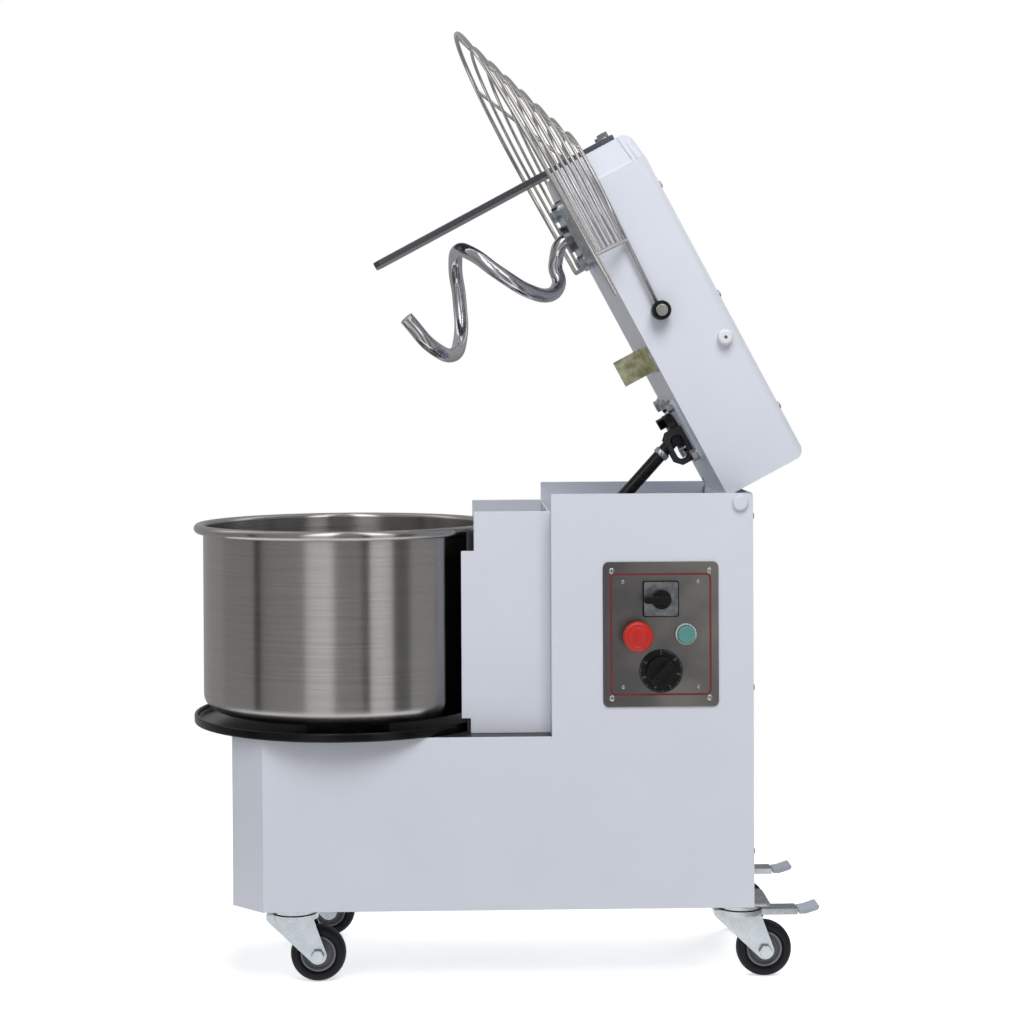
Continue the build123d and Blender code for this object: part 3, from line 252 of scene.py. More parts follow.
# Black mouldings: gloss on knobs and strut, satin on bushes and bases, with a grain drawn coarser than real
BLACK_GLOSS = Finish("black_abs_gloss", "#0b0b0d", 0.28, specular=0.35, pattern_mm=1.2, relief=0.03,
                     spread=0.1)
BLACK_SATIN = Finish("black_nylon_satin", "#0e0e10", 0.42, specular=0.3, pattern_mm=0.9, relief=0.08,
                     spread=0.12)
# Black sheet and painted shade: the coupling plate's ears are black sheet, while the shield behind the bowl and
# the deck ledge under the cheeks are black for the shade in those deep gaps. Soft charcoal
BLACK_SHEET_AND_SHADE = Finish("black_sheet_and_painted_shade", "#2a2a2f", 0.4, pattern_mm=1.5, spread=0.08)
# Stoved black enamel of the dish: smooth enough to show the bowl's foot
BLACK_ENAMEL = Finish("black_stoved_enamel", "#0b0b0c", 0.2, specular=0.25, pattern_mm=1.5, relief=0.02,
                      spread=0.08)
# Rubber tread and belts: dull, with pits drawn coarser than real
RUBBER = Finish("moulded_black_rubber", "#17171b", 0.6, specular=0.25, pattern_mm=1.1, relief=0.14,
                spread=0.12)
# Grey, pale and coloured mouldings: soft sheen on a grain drawn coarser than real
GREY_NYLON = Finish("grey_nylon", "#4f5057", 0.4, pattern_mm=0.9, relief=0.07)
RING_NYLON = Finish("light_grey_nylon", "#8f9298", 0.36, pattern_mm=0.9)
PALE_ABS = Finish("pale_grey_abs", "#b9c2c1", 0.33, pattern_mm=0.9)
PEDAL_NYLON = Finish("pale_blue_nylon", "#a3abb4", 0.4, pattern_mm=0.9)
WHITE_NYLON = Finish("white_nylon", "#e2e4e8", 0.33, pattern_mm=0.9, relief=0.04, spread=0.015)
RED_ABS = Finish("red_abs", "#c0261e", 0.3, pattern_mm=0.9, relief=0.04)
GREEN_ABS = Finish("green_abs", "#57918c", 0.28, pattern_mm=0.9, relief=0.04)
# Screen-printed ink on metal and plastic: flat and dull
RED_INK = Finish("red_ink", "#702029", 0.42, pattern_mm=0.6, relief=0.02, spread=0.08)
PALE_INK = Finish("pale_ink", "#85898c", 0.45, pattern_mm=0.6, relief=0.02)
# Silvered foil on the cam switch: mottled grey shine
FOIL_GREY = Finish("silvered_foil", "#7b7d81", 0.34, metallic=1.0, pattern_mm=0.6, relief=0.02, cloud_mm=9.0,
                   cloud_colour="#a7a9ad")
# Painted motor casting: dull grey on a rough skin
MOTOR_GREY = Finish("grey_painted_casting", "#59616b", 0.5, pattern_mm=1.5, relief=0.18)


def deselect() -> None:
    """Leave edit mode and select nothing."""
    if bpy.context.object and bpy.context.object.mode != "OBJECT":
        bpy.ops.object.mode_set(mode="OBJECT")
    bpy.ops.object.select_all(action="DESELECT")


def take(piece: bpy.types.Object) -> None:
    """Make one piece the selected and active one.

    Args:
        piece: Piece to take.
    """
    deselect()
    piece.select_set(True)
    bpy.context.view_layer.objects.active = piece


def edit_all(piece: bpy.types.Object) -> None:
    """Go into edit mode with everything selected.

    Args:
        piece: Piece to edit.
    """
    take(piece)
    bpy.ops.object.mode_set(mode="EDIT")
    bpy.ops.mesh.select_all(action="SELECT")


def leave_edit() -> None:
    """Go back to object mode."""
    bpy.ops.object.mode_set(mode="OBJECT")


def trace(name: str, points: list[Vector]) -> bpy.types.Object:
    """Draw a chain of edges by extruding one vertex, and stay in edit mode.

    Args:
        name: Name of the piece.
        points: Corners of the chain.

    Returns:
        The piece, with all of the chain selected.
    """
    deselect()
    bpy.ops.mesh.primitive_plane_add(size=MM)
    piece = bpy.context.object
    piece.name = name
    edit_all(piece)
    bpy.ops.mesh.merge(type="CENTER")
    bpy.ops.transform.translate(value=points[0])
    for before, after in zip(points, points[1:]):
        bpy.ops.mesh.extrude_region_move(TRANSFORM_OT_translate={"value": after - before})
    bpy.ops.mesh.select_all(action="SELECT")
    return piece


def close_up() -> None:
    """Merge doubles and turn the faces of the edited piece outwards."""
    bpy.ops.mesh.select_all(action="SELECT")
    bpy.ops.mesh.remove_doubles(threshold=WELD_GAP)
    bpy.ops.mesh.normals_make_consistent(inside=False)


def arc(centre: tuple[float, float], radius: float, start: int, stop: int, step: int) -> Profile:
    """Give points round an arc.

    Args:
        centre: Place of the arc's centre in millimetres.
        radius: Radius of the arc in millimetres.
        start: First direction in degrees.
        stop: Last direction in degrees.
        step: Degrees from point to point, negative to go clockwise.

    Returns:
        The points from the first direction to the last.
    """
    angles = [math.radians(angle) for angle in range(start, stop + (1 if step > 0 else -1), step)]
    return [(centre[0] + radius * math.cos(t), centre[1] + radius * math.sin(t)) for t in angles]


def turned(name: str, profile: Profile, steps: int = 96) -> bpy.types.Object:
    """Turn a profile round the z axis.

    Args:
        name: Name of the piece.
        profile: Radius and height of each point in millimetres, closed or from axis to axis.
        steps: Number of facets round the axis.

    Returns:
        The turned piece.
    """
    piece = trace(name, [Vector((r * MM, 0, h * MM)) for r, h in profile])
    bpy.ops.mesh.spin(steps=steps, angle=math.tau, center=(0, 0, 0), axis=(0, 0, 1))
    close_up()
    leave_edit()
    return piece


def plate(name: str, outline: Outline, thick: float, rim: float = 0.0) -> bpy.types.Object:
    """Cut a plate to an outline on the xy plane, or only a frame along the outline.

    Args:
        name: Name of the piece.
        outline: Corners in millimetres.
        thick: Thickness in millimetres, upwards.
        rim: Width of the frame in millimetres, or 0 for a whole plate.

    Returns:
        The plate or frame.
    """
    piece = trace(name, [Vector((x * MM, y * MM, 0)) for x, y in outline])
    bpy.ops.mesh.edge_face_add()
    if rim:
        bpy.ops.mesh.inset(thickness=rim * MM, use_even_offset=True)
        bpy.ops.mesh.delete(type="FACE")
        bpy.ops.mesh.select_all(action="SELECT")
    bpy.ops.mesh.extrude_region_move(TRANSFORM_OT_translate={"value": (0, 0, thick * MM)})
    close_up()
    leave_edit()
    return piece


def rounded(width: float, height: float, corner: float) -> Outline:
    """Give the outline of a rectangle with rounded corners.

    Args:
        width: Size along x in millimetres.
        height: Size along y in millimetres.
        corner: Corner radius in millimetres.

    Returns:
        The outline round the origin.
    """
    half_w, half_h = width / 2 - corner, height / 2 - corner
    outline = []
    for quarter, (sx, sy) in enumerate(((1, 1), (-1, 1), (-1, -1), (1, -1))):
        outline += arc((sx * half_w, sy * half_h), corner, 90 * quarter, 90 * quarter + 90, 15)
    return outline


def apply_modifier(piece: bpy.types.Object, kind: str, **settings) -> None:
    """Add a modifier, set it and apply it.

    Args:
        piece: Piece to change.
        kind: Modifier type.
        **settings: Attributes of the modifier.
    """
    take(piece)
    modifier = piece.modifiers.new(kind.lower(), kind)
    for key, value in settings.items():
        setattr(modifier, key, value)
    bpy.ops.object.modifier_apply(modifier=modifier.name)


def soften(piece: bpy.types.Object, width: float, segments: int = 2, angle: float = 32.0) -> None:
    """Round the sharp edges and shade the rest smooth.

    Args:
        piece: Piece to change.
        width: Width of the rounding in millimetres, or 0 for none.
        segments: Facets across the rounding.
        angle: Edges sharper than this many degrees are rounded or stay sharp.
    """
    if width:
        apply_modifier(piece, "BEVEL", width=width * MM, segments=segments, limit_method="ANGLE",
                       angle_limit=math.radians(angle), use_clamp_overlap=True)
    take(piece)
    bpy.ops.object.shade_smooth_by_angle(angle=math.radians(angle + SHADE_MARGIN_DEG))
    if width:
        apply_modifier(piece, "WEIGHTED_NORMAL", keep_sharp=True)


def stand(piece: bpy.types.Object, place: Matrix) -> bpy.types.Object:
    """Move a piece to its place and leave the place in its mesh.

    Args:
        piece: Piece modelled at the origin.
        place: Where it belongs.

    Returns:
        The same piece.
    """
    take(piece)
    piece.matrix_world = place
    bpy.ops.object.transform_apply(location=True, rotation=True, scale=True)
    return piece


def facing(origin: Vector, outward: Vector, across: Vector) -> Matrix:
    """Give the place of a piece whose z looks outward and whose x runs across.

    Args:
        origin: Where the piece's origin goes.
        outward: Direction of its z axis.
        across: Direction of its x axis.

    Returns:
        The placing matrix.
    """
    turn = Matrix((across, outward.cross(across), outward)).transposed()
    return Matrix.Translation(origin) @ turn.to_4x4()


def copied(piece: bpy.types.Object, name: str, place: Matrix) -> bpy.types.Object:
    """Copy a piece with a mesh of its own and set the copy in place.

    Args:
        piece: Model at the origin.
        name: Name of the copy.
        place: Where the copy belongs.

    Returns:
        The copy.
    """
    copy = bpy.data.objects.new(name, piece.data.copy())
    bpy.context.scene.collection.objects.link(copy)
    return stand(copy, place)


def joined(name: str, pieces: list[bpy.types.Object]) -> bpy.types.Object:
    """Join pieces of one kind into one object.

    Args:
        name: Name of the result.
        pieces: Pieces to join.

    Returns:
        The joined piece.
    """
    take(pieces[0])
    for piece in pieces:
        piece.select_set(True)
    bpy.ops.object.join()
    result = bpy.context.object
    result.name = name
    return result


def repeated(name: str, model: bpy.types.Object, places: list[Matrix]) -> bpy.types.Object:
    """Copy a model to several places and join the copies.

    Args:
        name: Name of the result.
        model: Model at the origin.
        places: Where the copies belong.

    Returns:
        The joined copies.
    """
    return joined(name, [copied(model, name, place) for place in places])


def scrap(piece: bpy.types.Object) -> None:
    """Remove a pattern piece that only served to be copied."""
    bpy.data.objects.remove(piece)


def mount(piece: bpy.types.Object, body: str, finish: Finish,
          replaces: tuple[str, ...] = ()) -> None:
    """Give a finished piece its material, its body and the nodes it stands for.

    Args:
        piece: Finished piece.
        body: Body that it rides on.
        finish: Its finish.
        replaces: CAD nodes that it stands for.
    """
    piece.data.materials.clear()
    piece.data.materials.append(finish.build())
    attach(piece, body)
    if replaces:
        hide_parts(*replaces)
    LOG.info("%s on %s: %s", piece.name, body, finish.name)


def body_of(node: str) -> str:
    """Name the body that carries a CAD node."""
    bodies = frame["record"]["behaviour"]["bodies"]
    return next(body for body, members in bodies.items() if node in members)


def unpick(mesh: bpy.types.Mesh) -> None:
    """Deselect all of a mesh's vertices, edges and faces."""
    for part in (mesh.vertices, mesh.edges, mesh.polygons):
        part.foreach_set("select", [False] * len(part))


def round_bends(piece: bpy.types.Object, direction: Vector, width: float) -> None:
    """Round the sheet's bends that run in one direction.

    Args:
        piece: Piece to change.
        direction: Direction of the bend lines.
        width: Width of the rounding in millimetres.
    """
    mesh = piece.data
    beside: dict[tuple[int, int], list[Vector]] = {}
    for face in mesh.polygons:
        for key in face.edge_keys:
            beside.setdefault(key, []).append(face.normal)
    take(piece)
    unpick(mesh)
    for edge in mesh.edges:
        start, end = (mesh.vertices[i].co for i in edge.vertices)
        normals = beside.get(edge.key, [])
        straight = abs((end - start).normalized().dot(direction)) > ALONG_BEND
        if straight and len(normals) == 2:
            edge.select = BEND_DEG[0] < math.degrees(normals[0].angle(normals[1])) < BEND_DEG[1]
    bpy.ops.object.mode_set(mode="EDIT")
    bpy.ops.mesh.select_mode(type="EDGE")
    bpy.ops.mesh.bevel(offset=width * MM, segments=BEND_FACETS, affect="EDGES")
    bpy.ops.mesh.select_mode(type="VERT")
    leave_edit()


def refined(node: str, finish: Finish, width: float, segments: int = 2,
            bends: tuple[Vector, float] | None = None) -> bpy.types.Object:
    """Stand a copy with softened edges in for a CAD node.

    Args:
        node: CAD node.
        finish: Finish of the piece.
        width: Edge rounding in millimetres, or 0 for smooth shading alone.
        segments: Facets across the rounding.
        bends: Direction and rounding in millimetres of the sheet's bends.

    Returns:
        The new piece.
    """
    piece = bpy.data.objects.new(f"{node}_finished", frame["nodes"][node].data.copy())
    bpy.context.scene.collection.objects.link(piece)
    edit_all(piece)
    bpy.ops.mesh.remove_doubles(threshold=NODE_WELD_GAP)
    bpy.ops.mesh.dissolve_limited(angle_limit=math.radians(FLAT_DEG))
    leave_edit()
    if bends:
        round_bends(piece, *bends)
    soften(piece, width, segments)
    mount(piece, body_of(node), finish, (node,))
    return piece


def joint_place(name: str) -> Vector:
    """Give the point that a joint turns about."""
    return Vector(next(j["pos_m"] for j in frame["joints"] if j["name"] == name))


def joint_axis(name: str) -> Vector:
    """Give the direction of a joint's axis."""
    return Vector(next(j["axis"] for j in frame["joints"] if j["name"] == name))


def dress(nodes: str, finish: Finish) -> None:
    """Give CAD nodes that keep their own meshes a finish.

    Args:
        nodes: Node names with spaces between.
        finish: Finish for all of them.
    """
    for name in nodes.split():
        materials = frame["nodes"][name].data.materials
        materials.clear()
        materials.append(finish.build())
        LOG.info("%s: %s", name, finish.name)


@dataclass(frozen=True)
class Fitting:
    """CAD node that a copy with softened edges stands in for."""

    node: str
    finish: Finish
    edge_mm: float
    facets: int = 2

    def build(self) -> bpy.types.Object:
        """Make the softened copy."""
        return refined(self.node, self.finish, self.edge_mm, self.facets)


@dataclass
class BodyShell:
    """Painted sheet body: side panels, wrapped front, column, cheeks, and the drive inside."""

    edge_mm: float = 0.9
    bend_mm: float = 3.0
    thin_edge_mm: float = 0.5
    panels: tuple[str, ...] = ("control_side_panel", "far_side_panel", "rear_cover", "column_front_wall",
                               "column_tray", "cheeks")

    def build(self) -> None:
        """Soften every panel and paint it."""
        for node in self.panels:
            refined(node, POWDER_WHITE, self.edge_mm)
        refined("front_panel", POWDER_WHITE, self.edge_mm, 3, (SIDE_Z, self.bend_mm))
        # The shield behind the bowl is black to stand in for the deep shade between bowl and column: painted shade
        refined("bowl_shield", BLACK_SHEET_AND_SHADE, self.thin_edge_mm)
        # The deck plate is black so that its ledge under the cheeks shows as a dark line: painted shade
        refined("deck_plate", BLACK_SHEET_AND_SHADE, self.thin_edge_mm)
        refined("bottom_plate", ZINC, self.thin_edge_mm)
        refined("hinge_caps", POWDER_WHITE, self.thin_edge_mm)
        refined("cable_gland", BLACK_SATIN, self.edge_mm)
        dress("bowl_bearing hinge_shaft drive_shaft bowl_spindle", TURNED_STEEL)
        dress("bowl_belt head_belt", RUBBER)
        dress("gearmotor", MOTOR_GREY)


@dataclass
class BowlUnit:
    """Stainless bowl with a rolled rim, and the black dish that it turns in."""

    wall_mm: float = 1.5
    bead_mm: float = 6.6
    corner_mm: float = 22.0
    hold_mm: float = 2.5
    neck_mm: float = 4.5
    lap_mm: float = 0.2
    bead_rise_mm: float = 1.0
    facets: int = 160
    dish_lip_mm: float = 12.0
    lip_round_mm: float = 2.4
    dish_floor_mm: float = 4.0
    dish_hole_mm: float = 34.0

    def build(self) -> None:
        """Turn the bowl and the dish."""
        self._bowl()
        self._dish()

    def _bowl(self) -> None:
        """Turn the bowl from its floor, up the wall and round the bead."""
        low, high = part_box("bowl")
        floor = low.z / MM
        bead_h = high.z / MM - self.bead_mm
        rim_r = high.x / MM
        r = rim_r - 2 * self.bead_mm + self.lap_mm
        turn_at = (r - self.corner_mm, floor + self.corner_mm)
        outer_arc = arc(turn_at, self.corner_mm, -90, 0, 9)
        inner_arc = arc(turn_at, self.corner_mm - self.wall_mm, 0, -90, -9)
        bead = arc((rim_r - self.bead_mm, bead_h), self.bead_mm, 210, 540, 15)
        neck_h = bead_h - self.neck_mm
        low_h, high_h = floor + self.corner_mm + self.hold_mm, neck_h - self.hold_mm
        outside = [(r, low_h), (r, high_h), (r, neck_h)]
        inside = [(r - self.wall_mm, h) for h in (bead_h + self.bead_rise_mm, high_h, low_h)]
        flat_r = r - self.corner_mm - self.hold_mm
        profile = [(0, floor), (flat_r, floor)] + outer_arc + outside + bead + inside + inner_arc
        profile += [(flat_r, floor + self.wall_mm), (0, floor + self.wall_mm)]
        piece = turned("bowl_shell", profile, self.facets)
        soften(piece, 0, angle=ROUND_DEG)
        mount(piece, "bowl_unit", BOWL_STEEL, ("bowl",))

    def _dish(self) -> None:
        """Turn the dish with its raised, rounded lip."""
        low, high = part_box("bowl_tray")
        base = low.z / MM
        r = high.x / MM
        lip = self.lip_round_mm
        top = base + self.dish_lip_mm
        floor = base + self.dish_floor_mm
        crown = arc((r - lip, top - lip), lip, 0, 180, 15)
        profile = [(self.dish_hole_mm, base), (r - 2, base), (r - 0.5, base + 0.6), (r, base + 2)] + crown
        profile += [(r - 2 * lip, floor + 2.6), (r - 2 * lip - 0.8, floor + 0.8), (r - 2 * lip - 2.6, floor)]
        profile += [(r - 2 * lip - 5, floor), (self.dish_hole_mm, floor), (self.dish_hole_mm, base)]
        piece = turned("dish", profile, self.facets)
        soften(piece, 0, angle=ROUND_DEG)
        mount(piece, "chassis", BLACK_ENAMEL, ("bowl_tray",))


@dataclass
class Head:
    """Tilting head: tub, lid, hinge bracket, guard, bar, hook, coupling and small fittings."""

    tilt_deg: float = 61.9
    edge_mm: float = 0.4
    bend_mm: float = 2.6
    lid_screw_spots: tuple[float, ...] = (84.0, 257.0, 426.0)
    lid_screw_y: float = 104.5
    lid_top: float = 116.0
    lid_screw_mm: tuple[float, float] = (5.5, 3.2)
    plate_low: float = -10.6
    stop_spot: tuple[float, float] = (201.5, 93.0)
    strut_pin: tuple[float, float, float] = (106.0, -46.0, -28.0)
    collar_drop: float = 30.0
    collar_mm: tuple[tuple[float, float], ...] = (
        (8.8, 0), (10.4, 0.5), (10.9, 1.5), (10.9, 7.5), (10.4, 8.5), (8.8, 9), (8.8, 0))
    # Profile of the dark disc painted on each stop stud for the shade in its socket
    socket_mm: tuple[tuple[float, float], ...] = ((0, 0), (2.3, 0), (2.3, 0.15), (1.9, 0.25), (0, 0.25))
    fittings: tuple[Fitting, ...] = (
        Fitting("hinge_bracket", POWDER_WHITE, 0.4), Fitting("breaker_bar", BAR_STEEL, 0.8),
        Fitting("spiral_hook", ROD_STEEL, 0), Fitting("wire_guard", WIRE_STEEL, 0),
        Fitting("guard_bushes", BLACK_SATIN, 1.2, 3), Fitting("guard_stops", WHITE_NYLON, 0.5),
        Fitting("guard_pivot_bolts", NICKEL, 1.0, 3), Fitting("head_bolts", ZINC, 1.0),
        Fitting("coupling_plate", BLACK_SHEET_AND_SHADE, 0.6), Fitting("spindle_flange", ZINC, 0.8),
        Fitting("interlock_bracket", YELLOW_ZINC, 0.4), Fitting("input_shaft", BLACK_SATIN, 0.6),
        Fitting("strut_cylinder", BLACK_GLOSS, 0.8))

    @property
    def along(self) -> Vector:
        """Direction from the hinge to the nose."""
        turn = math.radians(self.tilt_deg)
        return Vector((-math.cos(turn), 0, math.sin(turn)))

    @property
    def upward(self) -> Vector:
        """Direction out of the lid."""
        turn = math.radians(self.tilt_deg)
        return Vector((math.sin(turn), 0, math.cos(turn)))

    def point(self, a: float, y: float, h: float) -> Vector:
        """Give a point by its place on the head.

        Args:
            a: Millimetres from the hinge to the nose.
            y: Millimetres across.
            h: Millimetres above the hinge axis.

        Returns:
            The point in metres.
        """
        return joint_place("head_tilt") + (self.along * a + SIDE_Y * y + self.upward * h) * MM

    def build(self) -> None:
        """Build the head's pieces."""
        for node in ("head_shell", "head_cover"):
            refined(node, POWDER_WHITE, self.edge_mm, bends=(self.upward, self.bend_mm))
        pieces = {fitting.node: fitting.build() for fitting in self.fittings}
        self._paint_coupling_plate(pieces["coupling_plate"])
        dress("strut_rod spiral_spindle", TURNED_STEEL)
        self._lid_screws()
        self._stop_sockets()
        self._strut_collar()

    def _paint_coupling_plate(self, piece: bpy.types.Object) -> None:
        """Paint the coupling plate white like the head, and leave its ears black.

        Args:
            piece: The plate with its ears.
        """
        piece.data.materials.append(POWDER_WHITE.build())
        hinge = joint_place("head_tilt")
        for face in piece.data.polygons:
            if (face.center - hinge).dot(self.upward) > self.plate_low * MM:
                face.material_index = 1

    def _lid_screws(self) -> None:
        """Set the lid's screws."""
        model = Screw(*self.lid_screw_mm).model()
        places = [facing(self.point(a, side * self.lid_screw_y, self.lid_top), self.upward, self.along)
                  for a in self.lid_screw_spots for side in (-1, 1)]
        screws = repeated("lid_screws", model, places)
        scrap(model)
        mount(screws, "head", NICKEL, ("head_cover_screws",))

    def _stop_sockets(self) -> None:
        """Lay a dark disc on each stop stud's face: painted shade standing in for the hollow of its socket."""
        low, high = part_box("guard_stops")
        model = turned("stop_socket_shade", list(self.socket_mm), steps=32)
        middle = self.point(self.stop_spot[0], 0, self.stop_spot[1])
        places = [facing(Vector((middle.x, y, middle.z)), side * SIDE_Y, side * SIDE_X)
                  for side, y in ((-1, low.y), (1, high.y))]
        socket_shades = repeated("stop_socket_shades", model, places)
        scrap(model)
        mount(socket_shades, "head", GREY_NYLON)

    def _strut_collar(self) -> None:
        """Turn the bright collar under the strut's upper eye."""
        run = joint_axis("strut_slide")
        top = self.point(*self.strut_pin)
        collar = turned("strut_collar", list(self.collar_mm), steps=48)
        soften(collar, 0, angle=ROUND_DEG)
        stand(collar, facing(top - run * self.collar_drop * MM, run, SIDE_Y))
        mount(collar, "strut_upper", ZINC)


@dataclass
class Screw:
    """Domed screw head with a cross recess."""

    radius_mm: float
    height_mm: float
    rim_share: float = 0.3
    arm_share: float = 0.55
    slot_share: float = 0.11
    cut_share: float = 0.5

    def model(self) -> bpy.types.Object:
        """Turn the head and cut the cross into it.

        Returns:
            The head, at the origin with its top along z.
        """
        r, h = self.radius_mm, self.height_mm
        rim = self.rim_share
        dome = [(r * x, h * (rim + (1 - rim) * y)) for x, y in arc((0, 0), 1, 0, 90, 15)]
        head = turned("screw_head", [(0, 0), (r, 0)] + dome[:-1] + [(0, h)], steps=32)
        arm, half = self.arm_share * r, self.slot_share * r
        corners = [(half, half), (half, arm), (-half, arm), (-half, half), (-arm, half), (-arm, -half),
                   (-half, -half), (-half, -arm), (half, -arm), (half, -half), (arm, -half), (arm, half)]
        cross = plate("cross_cutter", corners, h)
        stand(cross, Matrix.Translation((0, 0, self.cut_share * h * MM)))
        apply_modifier(head, "BOOLEAN", object=cross, operation="DIFFERENCE", solver="EXACT")
        scrap(cross)
        soften(head, 0, angle=30)
        return head


@dataclass
class ControlPlate:
    """Brushed plate with its red border line, screws and four controls."""

    border_inset_mm: tuple[float, float] = (9.8, 15.3)
    border_mm: float = 2.6
    border_corner_mm: float = 7.5
    ink_mm: float = 0.15
    screw_inset_mm: float = 12.0
    rivet_span_mm: tuple[float, float] = (100.5, 140.0)
    plate_screw_mm: tuple[float, float] = (4.0, 1.8)
    rivet_mm: tuple[float, float] = (2.6, 1.2)
    rear_screw_mm: tuple[float, float] = (5.0, 3.0)
    rear_screw_levels: tuple[float, ...] = (630.0, 400.0, 180.0)
    dial_ticks: int = 61
    long_tick_every: int = 5
    number_every: int = 10
    dial_sweep_deg: float = 300.0
    long_tick_mm: tuple[float, float, float] = (25.6, 28.2, 0.25)
    short_tick_mm: tuple[float, float, float] = (26.8, 28.2, 0.18)
    number_mm: float = 3.4
    number_ring_mm: float = 23.2
    cam_face_mm: tuple[float, float, float] = (45.0, 45.0, 2.0)
    foil_mm: float = 0.3
    stem_mm: tuple[float, float] = (5.0, -12.0)
    stop_back_mm: float = 14.0
    start_back_mm: float = 8.5
    fittings: tuple[Fitting, ...] = (
        Fitting("panel_plate", PLATE_STEEL, 0.5), Fitting("cam_switch_base", BLACK_GLOSS, 0.8),
        Fitting("cam_switch_knob", BLACK_GLOSS, 0.9, 3), Fitting("estop_base", BLACK_SATIN, 0.8),
        Fitting("start_base", PALE_ABS, 0.7, 3), Fitting("timer_base", BLACK_SATIN, 0.4),
        Fitting("timer_knob", BLACK_GLOSS, 0.8, 3))

    @property
    def centre(self) -> Vector:
        """Middle of the plate's face."""
        low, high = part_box("panel_plate")
        return Vector(((low.x + high.x) / 2, low.y, (low.z + high.z) / 2))

    @property
    def size(self) -> tuple[float, float]:
        """Width and height of the plate in millimetres."""
        low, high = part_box("panel_plate")
        return (high.x - low.x) / MM, (high.z - low.z) / MM

    def build(self) -> None:
        """Build the plate and what is on it."""
        for fitting in self.fittings:
            fitting.build()
        self._border()
        self._screws()
        self._cam_switch()
        self._stop_button()
        self._start_button()
        self._timer()

    def on_plate(self, x: float, z: float, proud: float) -> Matrix:
        """Give a place in front of the plate.

        Args:
            x: Place along x in metres.
            z: Height in metres.
            proud: Millimetres in front of the plate's face.

        Returns:
            Placing matrix whose z looks out of the plate.
        """
        return facing(Vector((x, self.centre.y - proud * MM, z)), -SIDE_Y, SIDE_X)

    def _border(self) -> None:
        """Print the red line along the edge."""
        width, height = (s - 2 * inset for s, inset in zip(self.size, self.border_inset_mm))
        outline = rounded(width, height, self.border_corner_mm)
        line = plate("red_border", outline, self.ink_mm, self.border_mm)
        stand(line, self.on_plate(self.centre.x, self.centre.z, 0))
        mount(line, "chassis", RED_INK)

    def _screws(self) -> None:
        """Set the plate's screws and rivets and the rear cover's screws."""
        big, small, rear = (Screw(*size).model()
                            for size in (self.plate_screw_mm, self.rivet_mm, self.rear_screw_mm))
        spread = [(s / 2 - self.screw_inset_mm) * MM for s in self.size]
        rivets = [s / 2 * MM for s in self.rivet_span_mm]
        heads, pins = [], []
        for sx in (-1, 1):
            for sz in (-1, 1):
                for model, (dx, dz), group in ((big, spread, heads), (small, rivets, pins)):
                    spot = self.on_plate(self.centre.x + sx * dx, self.centre.z + sz * dz, 0)
                    group.append(copied(model, "plate_screw", spot))
        rear_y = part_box("body_screws")[1].y - self.rear_screw_mm[0] * MM
        rear_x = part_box("rear_cover")[1].x
        for level in self.rear_screw_levels:
            for side in (-1, 1):
                spot = facing(Vector((rear_x, side * rear_y, level * MM)), SIDE_X, SIDE_Y)
                heads.append(copied(rear, "rear_screw", spot))
        for model in (big, small, rear):
            scrap(model)
        mount(joined("body_screw_heads", heads), "chassis", NICKEL, ("body_screws",))
        mount(joined("plate_rivets", pins), "chassis", ZINC)

    def _cam_switch(self) -> None:
        """Lay the silver face on the cam switch."""
        spot = joint_place("cam_turn")
        face_proud = (self.centre.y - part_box("cam_switch_base")[0].y) / MM
        face = plate("cam_switch_face", rounded(*self.cam_face_mm), self.foil_mm)
        soften(face, 0)
        stand(face, self.on_plate(spot.x, spot.z, face_proud))
        mount(face, "chassis", FOIL_GREY)

    def _cap(self, node: str, name: str, finish: Finish, profile: Profile, facets: int) -> None:
        """Turn a button's cap and set it on the plate in the place of its node.

        Args:
            node: CAD node of the button.
            name: Name of the cap.
            finish: Its finish.
            profile: Radius and distance from the plate's face in millimetres.
            facets: Number of facets round the axis.
        """
        low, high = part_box(node)
        cap = turned(name, profile, facets)
        soften(cap, 0, angle=ROUND_DEG)
        stand(cap, self.on_plate((low.x + high.x) / 2, (low.z + high.z) / 2, 0))
        mount(cap, body_of(node), finish, (node,))

    def _button_size(self, node: str) -> tuple[float, float]:
        """Give a button's radius and how far it stands before the plate, in millimetres."""
        low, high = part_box(node)
        return (high.x - low.x) / 2 / MM, (self.centre.y - low.y) / MM

    def _stop_button(self) -> None:
        """Shape the mushroom head of the stop button, with a groove round its crown."""
        r, front = self._button_size("estop_button")
        (stem, foot), back = self.stem_mm, self.stop_back_mm
        profile = [(0, foot), (stem, foot), (stem, back), (r - 2, back), (r - 0.6, back + 0.6)]
        profile += [(r, back + 2), (r, front - 6)]
        profile += [(r - 5 + x, front - 5 + y * 0.9) for x, y in arc((0, 0), 5, 15, 75, 15)]
        profile += [(r - 6, front - 0.5), (r - 6.6, front - 0.9), (r - 7.2, front - 0.5)]
        profile += [(6, front), (0, front)]
        self._cap("estop_button", "stop_cap", RED_ABS, profile, facets=72)

    def _start_button(self) -> None:
        """Shape the start button with its shallow dish inside the pale ring."""
        r, front = self._button_size("start_button")
        (stem, foot), back = self.stem_mm, self.start_back_mm
        profile = [(0, foot), (stem, foot), (stem, back), (r, back), (r, front - 1.2), (r - 0.4, front - 0.4)]
        profile += [(r - 1.2, front), (r - 2.4, front - 0.1), (r * 0.5, front - 0.5), (0, front - 0.6)]
        self._cap("start_button", "start_cap", GREEN_ABS, profile, facets=64)

